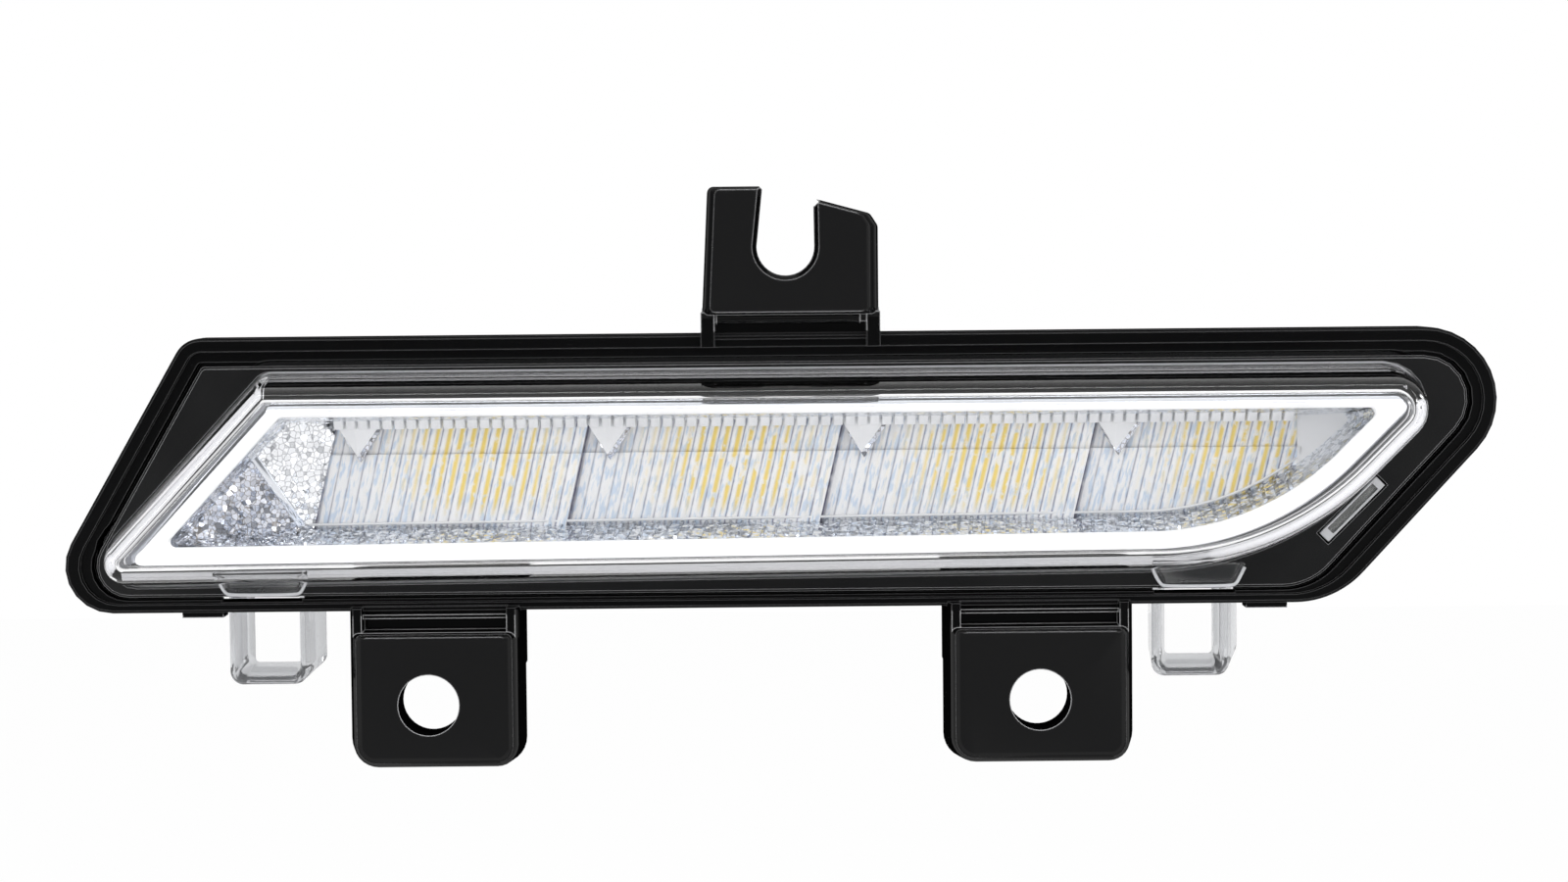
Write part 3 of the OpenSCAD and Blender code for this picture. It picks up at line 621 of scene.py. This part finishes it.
def keep(name, mat, edge=0.0):
    """Dresses a solid: shading that follows its faces, its edges rounded by the given width."""
    obj = nodes[name]
    mesh = obj.data
    if "custom_normal" in mesh.attributes:
        mesh.attributes.remove(mesh.attributes["custom_normal"])
    for poly in mesh.polygons:
        poly.use_smooth = True
    weld = obj.modifiers.new("closed seams", "WELD")
    weld.merge_threshold = 0.004 * MM
    if edge:
        whole = obj.modifiers.new("whole flat faces", "DECIMATE")
        whole.decimate_type = "DISSOLVE"
        whole.angle_limit = math.radians(0.3)
        bevel(obj, edge, 3, 28)
    smooth_edges(obj)
    flat = obj.modifiers.new("flat faces stay flat", "WEIGHTED_NORMAL")
    flat.keep_sharp = True
    flat.weight = 80
    dress(obj, mat)


keep("rear_housing", BLACK, 0.16)
keep("front_bezel", BEZEL, 0.12)
keep("lens_seal", SEALANT)
keep("led_board", WHITE_BOARD, 0.05)
for i in range(1, 5):
    keep(f"led_{i}", PHOSPHOR, 0.05)
keep("heat_sink", DRAWN, 0.08)
for name in ("led_board_screws", "driver_screws", "reflector_screws"):
    keep(name, STEEL, 0.1)
keep("driver_board", GREEN_BOARD, 0.05)
for name in ("driver_chip", "inductor", "diode"):
    keep(name, PACKAGE, 0.08)
for name in ("capacitor_1", "capacitor_2"):
    keep(name, CAN, 0.15)
for name in ("pin_1", "pin_2"):
    keep(name, PIN, 0.08)
for name in ("link_wire_1", "link_wire_2"):
    keep(name, SLEEVE)
keep("breather_vent", RUBBER, 0.25)

# Lens. Its wall is a list of (margin, depth) steps, outside and inside.

DOME_BACK = 6.8
OUTER_WALL = smooth_profile([(0.0, 6.9), (0.5, 2.0), (1.1, -3.6), (1.9, -7.2), (3.9, -7.98), (6.4, -8.0)], 3)
INNER_WALL = smooth_profile([(6.4, -6.1), (4.6, -6.1), (3.5, -5.7), (2.85, -3.2), (2.35, 2.0), (1.82, 9.0),
                             (1.8, 11.5)], 3)
FLANGE = [(1.98, 6.88), (1.82, 9.0), (1.8, 11.5), (0.1, 11.5), (0.1, 9.1), (-1.6, 9.1), (-1.6, 6.9),
          (0.0, 6.88)]
BEAD_RADIUS, BEAD_DEPTH = 0.17, 6.72
LOOP_X = {"left": -71.9, "right": 59.3}
CLIP_Z = 26.8


def margin_at(profile, y):
    """Margin of a wall at a depth."""
    for (d0, y0), (d1, y1) in zip(profile, profile[1:]):
        if min(y0, y1) <= y <= max(y0, y1) and y0 != y1:
            return d0 + (d1 - d0) * (y - y0) / (y1 - y0)
    return profile[0][0]


def foot_line(x, z):
    """Depth where the frosted foot begins: high at the ends, low along the lower edge, none on top."""
    t = clamp((z - 44.9) / 1.2 if x < 0 else (z - 41.0) / 4.5)
    lower_edge = clamp((18.4 - z) / 1.2) * clamp((x + 92.0) / 4.0)
    return 2.0 + 4.8 * t * t * (3 - 2 * t) + 3.4 * lower_edge


def wall_rings(profile, foot):
    """Rings of the wall; depths beyond the foot line are drawn back onto it, for the dome or for the foot."""
    rings = []
    edge = lens_ring(0.0)
    for d, y in profile:
        ring = []
        for i, (x, z) in enumerate(lens_ring(d)):
            cut = foot_line(*edge[i])
            if (y > cut) != foot:
                mx, mz = lens_ring(margin_at(profile, cut))[i]
                ring.append((mx, cut + (0.04 if foot else 0.0), mz))
            else:
                ring.append((x, y, z))
        rings.append(ring)
    return rings


def lens_pieces():
    """The lens in four pieces: clear dome, frosted foot of its wall, flange in the seal, bead between."""
    inner = [step for step in INNER_WALL if step[1] < DOME_BACK]
    inner.append((margin_at(INNER_WALL, DOME_BACK), DOME_BACK))
    outer = [(margin_at(OUTER_WALL, DOME_BACK), DOME_BACK)]
    outer += [step for step in OUTER_WALL if step[1] < DOME_BACK]
    verts, faces = loft(wall_rings(inner, False) + wall_rings(outer, False), True, True)
    dome = piece("lens_dome", verts, faces, 0.001)
    foot = closed_strip("lens_foot", wall_rings(inner, True) + wall_rings(outer, True))
    flange = closed_strip("lens_flange", [flat_ring(lens_ring(d), y) for d, y in FLANGE])
    turns = [math.tau * k / 8 for k in range(8)]
    section = [(BEAD_RADIUS * math.cos(a) - 0.04, BEAD_DEPTH + BEAD_RADIUS * math.sin(a)) for a in turns]
    bead = closed_strip("lens_bead", [flat_ring(lens_ring(d), y) for d, y in section])
    for obj in (dome, foot, flange, bead):
        sharpen(obj, 60)
        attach(obj, "root")
    dress(dome, CLEAR)
    dress(foot, FOOT)
    dress(flange, CLEAR)
    dress(bead, FOOT)
    return dome


def closed_strip(name, rings):
    verts, faces = loft(rings + [rings[0]])
    return piece(name, verts, faces, 0.001)


def snap_loop(x, side):
    """Clear loop: thin front edge, walls that close in towards the rear, rounded lower corners."""
    low, top = 1.9, 15.6
    front, back = 10.0, 17.0
    levels = [
        (front + 0.35, loop_outline(x, x + 11.0, low, top, 1.8)),
        (back - 0.3, loop_outline(x + 0.2, x + 12.95, low + 1.8, top, 1.8)),
        (back, loop_outline(x + 0.5, x + 12.65, low + 2.1, top - 0.1, 1.7)),
        (back, loop_outline(x + 2.6, x + 9.4, low + 2.4, top - 1.3, 0.6)),
        (front + 0.3, loop_outline(x + 1.0, x + 10.0, low + 0.95, top - 0.6, 1.3)),
        (front, loop_outline(x + 0.7, x + 10.3, low + 0.65, top - 0.4, 1.5)),
        (front, loop_outline(x + 0.3, x + 10.7, low + 0.3, top - 0.1, 1.7)),
    ]
    rings = [flat_ring(points, y) for y, points in levels]
    verts, faces = loft(rings + [rings[0]])
    obj = piece("snap_loop_" + side, verts, faces, 0.002)
    sharpen(obj, 40)
    return obj


def loop_outline(x0, x1, z0, z1, lower_radius):
    """Rectangle with rounded lower corners and small upper ones."""
    upper_radius = 0.3
    corners = (
        (x0 + lower_radius, z0 + lower_radius, lower_radius, 180),
        (x1 - lower_radius, z0 + lower_radius, lower_radius, 270),
        (x1 - upper_radius, z1 - upper_radius, upper_radius, 0),
        (x0 + upper_radius, z1 - upper_radius, upper_radius, 90),
    )
    points = []
    for cx, cz, radius, start in corners:
        for k in range(7):
            a = math.radians(start + 15 * k)
            points.append((cx + radius * math.cos(a), cz + radius * math.sin(a)))
    return points


def tab_outline(x, inset):
    top, low, slant = 18.6, 15.3 + inset, inset * 0.8
    return [(x - 0.8 + inset, top), (x + 0.7 + slant, low), (x + 11.1 - slant, low), (x + 12.6 - inset, top)]


def lens_tab(x, side):
    """Trapezoid tab that laps over the lower rim, a shallow tray with a raised edge."""
    outer, inner = tab_outline(x, 0.0), tab_outline(x, 0.7)
    rings = [flat_ring(outer, 4.7), flat_ring(outer, 3.4), flat_ring(inner, 3.4), flat_ring(inner, 4.0)]
    verts, faces = loft(rings, True, True)
    obj = piece("lens_tab_" + side, verts, faces)
    bevel(obj, 0.22, 3, 25)
    smooth_edges(obj)
    return obj


def tab_bead(x, side):
    """Raised bead along the free edge of a tab."""
    path = [(x - 0.6, 18.0), (x - 0.1, 16.8), (x + 0.6, 15.65), (x + 1.3, 15.4), (x + 5.9, 15.35),
            (x + 10.5, 15.4), (x + 11.2, 15.65), (x + 11.8, 16.8), (x + 12.4, 18.0)]
    return bead_along("tab_bead_" + side, flat_ring(smooth_profile(path, 2), 3.45), 0.24, 0.28)


def loop_strap(x, side):
    """Strap that joins a loop to the wall of the lens."""
    verts, faces = prism([(x + 0.7, 14.6), (x + 10.3, 14.6), (x + 10.3, 15.5), (x + 0.7, 15.5)], 7.9, 16.5)
    obj = piece("loop_strap_" + side, verts, faces)
    bevel(obj, 0.1, 2, 25)
    return obj


def clip_outline(s0, s1, w0, w1):
    """Rectangle beside the sweep of the lens: s along its side, w outwards from it."""
    a, b = LENS[1], LENS[2]
    u = direction(a, b)
    t = (CLIP_Z - a[1]) / u[1]
    cx, cz = a[0] + u[0] * t + u[1] * 1.3, a[1] + u[1] * t - u[0] * 1.3
    corners = ((s0, w0), (s0, w1), (s1, w1), (s1, w0))
    return [(cx + u[0] * s + u[1] * w, cz + u[1] * s - u[0] * w) for s, w in corners]


def side_clip():
    """Clear clip that shows in the bezel's slot beside the sweep of the lens."""
    verts, faces = prism(clip_outline(-5.4, 5.4, -0.7, 0.7), 5.3, 7.2)
    obj = piece("side_clip", verts, faces)
    bevel(obj, 0.25, 3, 25)
    smooth_edges(obj)
    return obj


def clip_frame():
    """Raised frame round the side clip, with wide ends."""
    outer = clip_outline(-5.6, 5.6, -0.85, 0.85)
    inner = clip_outline(-4.3, 4.5, -0.6, 0.5)
    sunk = clip_outline(-4.5, 4.7, -0.65, 0.6)
    rings = [flat_ring(outer, 6.6), flat_ring(outer, 4.5), flat_ring(inner, 4.5), flat_ring(sunk, 5.25)]
    verts, faces = loft(rings)
    obj = piece("clip_frame", verts, faces)
    bevel(obj, 0.3, 3, 25)
    smooth_edges(obj)
    return obj


def lens_fitting(obj, mat):
    dress(obj, mat)
    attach(obj, "root")


lens = lens_pieces()
lens_fitting(side_clip(), HAZY)
lens_fitting(clip_frame(), FROSTED)
for side, x in LOOP_X.items():
    lens_fitting(tab_bead(x, side), FROSTED)
    lens_fitting(snap_loop(x, side), SMOKY)
    lens_fitting(lens_tab(x, side), CLEAR)
    lens_fitting(loop_strap(x, side), CLEAR)
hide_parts("outer_lens")

# Reflector. Margins from the lens outline, one for each side, from the skirt's root to the floor of the bowl.

SKIRT_ROOT = [2.4, 2.9, 2.4, 2.6]
SKIRT_LIP = [2.5, 3.0, 2.8, 2.8]
SKIRT_FOOT = [2.3, 2.35, 2.3, 2.3]
SKIRT_EDGE = [2.7, 3.4, 4.5, 3.9]
BAND = [2.95, 3.7, 5.1, 4.2]
MOUTH = [5.9, 6.4, 6.1, 6.3]
DEEP = [7.4, 7.8, 7.9, 7.6]
FIELD_EDGE = [7.3, 7.7, 7.8, 7.5]
MOUTH_DEPTH, FLOOR_DEPTH = 1.35, 14.0

# Four cells of flutes in two rows; the flutes lean, so places along them shift with the height.
CELLS, FLUTES, FLUTE_STEPS = 4, 21, 10
PITCH = 36.1
FLUTE_WIDTH = PITCH / FLUTES
LEAN = math.tan(FLUTE_ANGLE)
ROW_LINE, FIELD_LOW, FIELD_TOP = 34.1, 23.7, 38.9
CELL_START, CELL_LOW = -59.6, 25.2
FLUTE_FOOT = CELL_START - LEAN * CELL_LOW
FIRST_TOP = FLUTE_FOOT + LEAN * FIELD_TOP
FIELD_END = 80.6
FIELD_DEPTH, CELL_SWELL, FLUTE_SWELL, FIELD_CURL = 13.6, 1.3, 0.17, 0.008
UPPER_STEP = 0.45


def blend(a, b, t):
    return [p + (q - p) * t for p, q in zip(a, b)]


def ring_piece(name, steps, angle):
    """Closed strip round the lens from (margins, depth) steps."""
    verts, faces = loft([flat_ring(lens_ring(margins), y) for margins, y in steps])
    obj = piece(name, verts, faces)
    sharpen(obj, angle)
    return obj


def reflector_skirt():
    """Mirror skirt that drops from the band towards the lens wall, with a ledge at its foot."""
    return ring_piece("reflector_skirt", [
        (SKIRT_ROOT, 8.95), (SKIRT_LIP, 5.2), (SKIRT_FOOT, 4.9), (blend(SKIRT_FOOT, SKIRT_EDGE, 0.35), 4.5),
        (blend(SKIRT_FOOT, SKIRT_EDGE, 0.6), 2.9), (blend(SKIRT_FOOT, SKIRT_EDGE, 0.75), 1.9),
        (SKIRT_EDGE, 1.5), (blend(SKIRT_EDGE, BAND, 0.6), 1.12), (BAND, 1.02)], 60)


def reflector_surround():
    """Raised flat white band round the bowl with rounded edges."""
    return ring_piece("reflector_surround", [
        (blend(SKIRT_EDGE, BAND, 0.8), 1.2), (BAND, 1.0), (blend(BAND, MOUTH, 0.3), 0.96),
        (blend(BAND, MOUTH, 0.8), 0.98), (blend(BAND, MOUTH, 0.95), 1.08), (MOUTH, MOUTH_DEPTH)], 40)


def bowl_wall():
    """Sloping wall of the bowl, moulded in small raised pads."""
    drop = 12.65
    steps = [(blend(MOUTH, DEEP, t), MOUTH_DEPTH + drop * t) for t in (0.0, 0.03, 0.2, 0.4, 0.6, 0.8, 1.0)]
    return ring_piece("bowl_wall", steps, 60)


def bowl_floor():
    ring = flat_ring(lens_ring(DEEP), FLOOR_DEPTH)
    return piece("reflector_floor", ring, [tuple(range(len(ring)))])


def field_bottom(x, margins=FIELD_EDGE):
    """Height of the bowl's lower edge at a place along the lamp, where the flutes end."""
    ring = lens_ring(margins)
    return min(z0 + (z1 - z0) * (x - x0) / (x1 - x0) for (x0, z0), (x1, z1) in zip(ring, ring[1:] + ring[:1])
               if (x0 - x) * (x1 - x) <= 0 and x0 != x1)


def flute_start(foot, low):
    """Height where a flute begins, above the low line and on the lower edge of the bowl."""
    start = low
    for _ in range(3):
        start = max(low, field_bottom(min(foot + LEAN * start, FIELD_END)) - 0.2)
    return start


def painted_reflection_strength(share, within, z, forward):
    """Strength of the painted reflection of the diode's yellow at a place: share across its cell, within
    across its flute.
    """
    centre = 0.62 - 0.04 * (z - 31) / 6
    spread = math.exp(-((share - centre) / 0.25) ** 2)
    line = math.exp(-((within - 0.62) / 0.16) ** 2)
    fall = 1.0 if forward else clamp((z - CELL_LOW) / 4.0)
    return min(1.0, 2.0 * spread * line * fall)


# Painted shade: strength of the dark line in the groove at a flute's edges, and of the line at a cell's edge.
def painted_groove_shade(share, within):
    edge = min(within, 1.0 - within)
    cell_edge = 0.5 if share < 0.012 else 0.0
    return max(0.0, 1.0 - edge / 0.11) * (0.7 + 0.3 * share) + cell_edge


def flute_field(name, low, high, forward, rows):
    """One row of leaning flutes in every cell, with the strength of its painted groove shade and of the
    painted reflection of the diodes.
    """
    verts, faces, painted_reflections, dark_lines = [], [], [], []
    columns = CELLS * FLUTES * FLUTE_STEPS + 1
    for c in range(columns):
        along = c / (FLUTES * FLUTE_STEPS)
        share = along - min(int(along), CELLS - 1)
        within = (c % FLUTE_STEPS) / FLUTE_STEPS
        foot = FLUTE_FOOT + along * PITCH
        start = flute_start(foot, low)
        for r in range(rows + 1):
            z = start + (high - start) * r / rows
            y = FIELD_DEPTH - CELL_SWELL * share * share - FLUTE_SWELL * math.sin(math.pi * within) - forward
            y -= FIELD_CURL * (z - low) ** 2
            verts.append((min(foot + LEAN * z, FIELD_END), y, z))
            painted_reflections.append(painted_reflection_strength(share, within, z, forward))
            dark_lines.append(painted_groove_shade(share, within))
    for c in range(columns - 1):
        for r in range(rows):
            a = c * (rows + 1) + r
            faces.append((a, a + rows + 1, a + rows + 2, a + 1))
    obj = new_object(name, verts, faces)
    for label, values in (("painted_reflection", painted_reflections), ("dark_line", dark_lines)):
        obj.data.attributes.new(label, "FLOAT", "POINT").data.foreach_set("value", values)
    sharpen(obj, 28)
    return obj


def facet_plate(name, corners):
    """Flat facet of the bowl with sides that reach back to its floor."""
    verts = list(corners) + [(x, FLOOR_DEPTH + 0.1, z) for x, y, z in corners]
    n = len(corners)
    faces = [tuple(range(n))] + [(i, (i + 1) % n, n + (i + 1) % n, n + i) for i in range(n)]
    obj = piece(name, verts, faces)
    sharpen(obj, 20)
    return obj


def facet_ridge():
    """Bright ridge between the two facets of the left corner."""
    a, b = Vector((-67.8, 7.9, 34.9)), Vector((-61.4, 10.9, 24.5))
    side = Vector((0.5, 0, 0.28))
    front = [tuple(p) for p in (a - side, a + side, b + side, b - side)]
    obj = piece("facet_ridge", front + [(x, y + 1.2, z) for x, y, z in front], BLOCK_FACES)
    bevel(obj, 0.15, 2, 25)
    return obj


def flute_sill():
    """Bright bead along the lower ends of the flutes."""
    path = []
    for k in range(90):
        x = -61.0 + 1.59 * k
        path.append((x, 12.6 - 0.4 * max(0.0, x - 60) / 20, field_bottom(x) + 0.55))
    return bead_along("flute_sill", path, 0.2, 0.3)


def blocks(name, corner_lists):
    """Many blocks in one piece, each from its eight corners."""
    verts, faces = [], []
    for corners in corner_lists:
        faces += [tuple(len(verts) + i for i in face) for face in BLOCK_FACES]
        verts += corners
    return piece(name, verts, faces)


def sill_ribs():
    """Short slanted ribs on the lower wall of the bowl, one to each flute."""
    near, far = blend(MOUTH, DEEP, 0.12), blend(MOUTH, DEEP, 0.95)
    section = ((0.0, -0.1), (0.12, 0.22), (0.5, 0.22), (0.62, -0.1))
    ribs = []
    for k in range(88):
        rib = []
        for margins, y, shift in ((near, 2.7, 0.0), (far, 13.2, 0.75)):
            for across, lift in section:
                x = -72.0 + FLUTE_WIDTH * k + shift + across
                rib.append((x, y, field_bottom(x, margins) + lift))
        ribs.append(rib)
    obj = blocks("sill_ribs", ribs)
    sharpen(obj, 30)
    return obj


def square_pads():
    """Row of small square pads above the flutes."""
    pads = []
    for k in range(CELLS * FLUTES - 2):
        x0, x1 = FIRST_TOP + FLUTE_WIDTH * k, FIRST_TOP + FLUTE_WIDTH * (k + 1)
        if x1 > 80.0:
            break
        pad = [(x0 + 0.18, 8.5, 38.2), (x1 - 0.22, 8.5, 38.2), (x1 - 0.18, 7.3, 39.6), (x0 + 0.22, 7.3, 39.6)]
        pads.append(pad + [(x, 11.0, z) for x, y, z in pad])
    obj = blocks("square_pads", pads)
    bevel(obj, 0.12, 2, 30)
    return obj


def cell_notches(number):
    """Pointed notch at the upper left of a cell: two satin facets that meet, and a speckled edge behind."""
    x = FIRST_TOP + PITCH * (number - 1)
    if number == 1:
        x += 0.6
    fold, tip = (x + 2.2, 9.5, 39.7), (x + 2.5, 11.2, 34.2)
    edge = [(x + 0.6, 11.0, 37.0), (x + 6.0, 10.9, 38.1), (x + 2.9, 11.6, 33.4)]
    return [(facet_plate(f"notch_left_{number}", [(x - 0.9, 10.2, 39.7), fold, tip]), SATIN),
            (facet_plate(f"notch_right_{number}", [fold, (x + 6.2, 10.6, 39.2), tip]), SATIN),
            (facet_plate(f"notch_edge_{number}", edge), SPECKLED)]


def reflector_parts(white_band):
    """Every piece of the reflector with its finish."""
    corner = [(-64.9, 9.6, 39.4), (-58.2, 11.4, 39.4), (-56.6, 12.2, 37.2), (-59.9, 12.7, 24.0),
              (-61.4, 11.9, 23.4), (-67.7, 8.4, 35.0)]
    left = [(-68.0, 8.9, 34.6), (-61.5, 11.9, 23.4), (-81.8, 7.2, 21.2)]
    right = [(80.2, 11.6, 39.3), (90.2, 8.6, 39.3), (80.2, 11.6, 29.8)]
    parts = [
        (white_band, SATIN), (reflector_skirt(), MIRROR), (bowl_wall(), PADS),
        (flute_field("flutes_lower", FIELD_LOW, ROW_LINE + 0.3, 0.0, 14), FLUTED),
        (flute_field("flutes_upper", ROW_LINE, FIELD_TOP, UPPER_STEP, 8), FLUTED),
        (bowl_floor(), HAMMERED), (facet_plate("corner_facet", corner), HAMMERED),
        (facet_plate("left_facet", left), SPECKLED), (facet_plate("right_web", right), SATIN),
    ]
    for number in range(1, CELLS + 1):
        parts += cell_notches(number)
    parts += [(square_pads(), SATIN), (facet_ridge(), MIRROR), (flute_sill(), SATIN), (sill_ribs(), SILL)]
    return parts


surround = reflector_surround()
for obj, mat in reflector_parts(surround):
    dress(obj, mat)
    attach(obj, "root")
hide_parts("reflector")

# Studio.

SIDE_LEVEL = 0.3
FLOOR_Z = -160.0


def floor_material():
    """Pale matt floor, lifted to the white of the backdrop for the camera, its shadows kept."""
    mat, tree, shader = new_material("pale floor")
    shader.inputs["Base Color"].default_value = (0.86, 0.86, 0.86, 1)
    shader.inputs["Roughness"].default_value = 0.9
    shader.inputs["Specular IOR Level"].default_value = 0.0
    glow = tree.nodes.new("ShaderNodeEmission")
    glow.inputs["Color"].default_value = (1, 1, 1, 1)
    glow.inputs["Strength"].default_value = 1.0
    path = tree.nodes.new("ShaderNodeLightPath")
    share = math_node(tree, "MULTIPLY", path.outputs["Is Camera Ray"], 0.92)
    mix_shaders(tree, share, glow.outputs["Emission"])
    return mat


def studio_floor():
    corners = [(-700, -700, FLOOR_Z), (700, -700, FLOOR_Z), (700, 1600, FLOOR_Z), (-700, 1600, FLOOR_Z)]
    floor = new_object("studio_floor", corners, [(0, 1, 2, 3)])
    floor.data.materials.append(floor_material())


def studio_world():
    """White room: white backdrop and ceiling, dim camera end, mid grey side walls."""
    world = bpy.data.worlds.new("studio")
    scene.world = world
    world.use_nodes = True
    tree = world.node_tree
    tree.nodes.clear()
    out = tree.nodes.new("ShaderNodeOutputWorld")
    sky = tree.nodes.new("ShaderNodeBackground")
    coord = tree.nodes.new("ShaderNodeTexCoord")
    split = tree.nodes.new("ShaderNodeSeparateXYZ")
    tree.links.new(coord.outputs["Generated"], split.inputs["Vector"])
    walls = ramp(tree, math_node(tree, "MULTIPLY_ADD", split.outputs["Y"], 0.5, 0.5),
                 [(0.0, 0.2), (0.01, 0.22), (0.03, 0.9), (0.26, 1.0), (0.36, 0.6), (0.45, SIDE_LEVEL),
                  (0.58, 0.5), (0.8, 1.0)])
    ceiling = ramp(tree, split.outputs["Z"], [(0.35, 0.0), (0.62, 1.0)])
    camera_end = ramp(tree, math_node(tree, "MULTIPLY", split.outputs["Y"], -1.0), [(0.4, 0.0), (0.7, 1.0)])
    walls = math_node(tree, "MULTIPLY", walls, math_node(tree, "MULTIPLY_ADD", camera_end, 0.3, 1.0))
    level = math_node(tree, "MAXIMUM", walls, ceiling)
    path = tree.nodes.new("ShaderNodeLightPath")
    level = math_node(tree, "MAXIMUM", level, path.outputs["Is Camera Ray"])
    tree.links.new(level, sky.inputs["Strength"])
    drift(tree, level, [(0.2, (0.93, 0.96, 1.0)), (0.85, (1.0, 1.0, 1.0))], sky.inputs["Color"])
    tree.links.new(sky.outputs["Background"], out.inputs["Surface"])


def soft_lamp(name, place, size, power):
    """Rectangular lamp that looks at the middle of the part."""
    data = bpy.data.lights.new(name, "AREA")
    data.shape = "RECTANGLE"
    data.size, data.size_y = size
    data.energy = power
    obj = bpy.data.objects.new(name, data)
    scene.collection.objects.link(obj)
    obj.location = place
    obj.rotation_euler = (Vector((0.0, 0.0, 0.03)) - Vector(place)).to_track_quat("-Z", "Y").to_euler()


studio_floor()
studio_world()
soft_lamp("overhead box", (0.0, -0.24, 0.62), (0.9, 0.1), 1.5)
soft_lamp("left box", (-0.75, -0.62, 0.3), (0.12, 0.6), 0.9)
soft_lamp("right box", (0.75, -0.62, 0.3), (0.12, 0.6), 0.9)
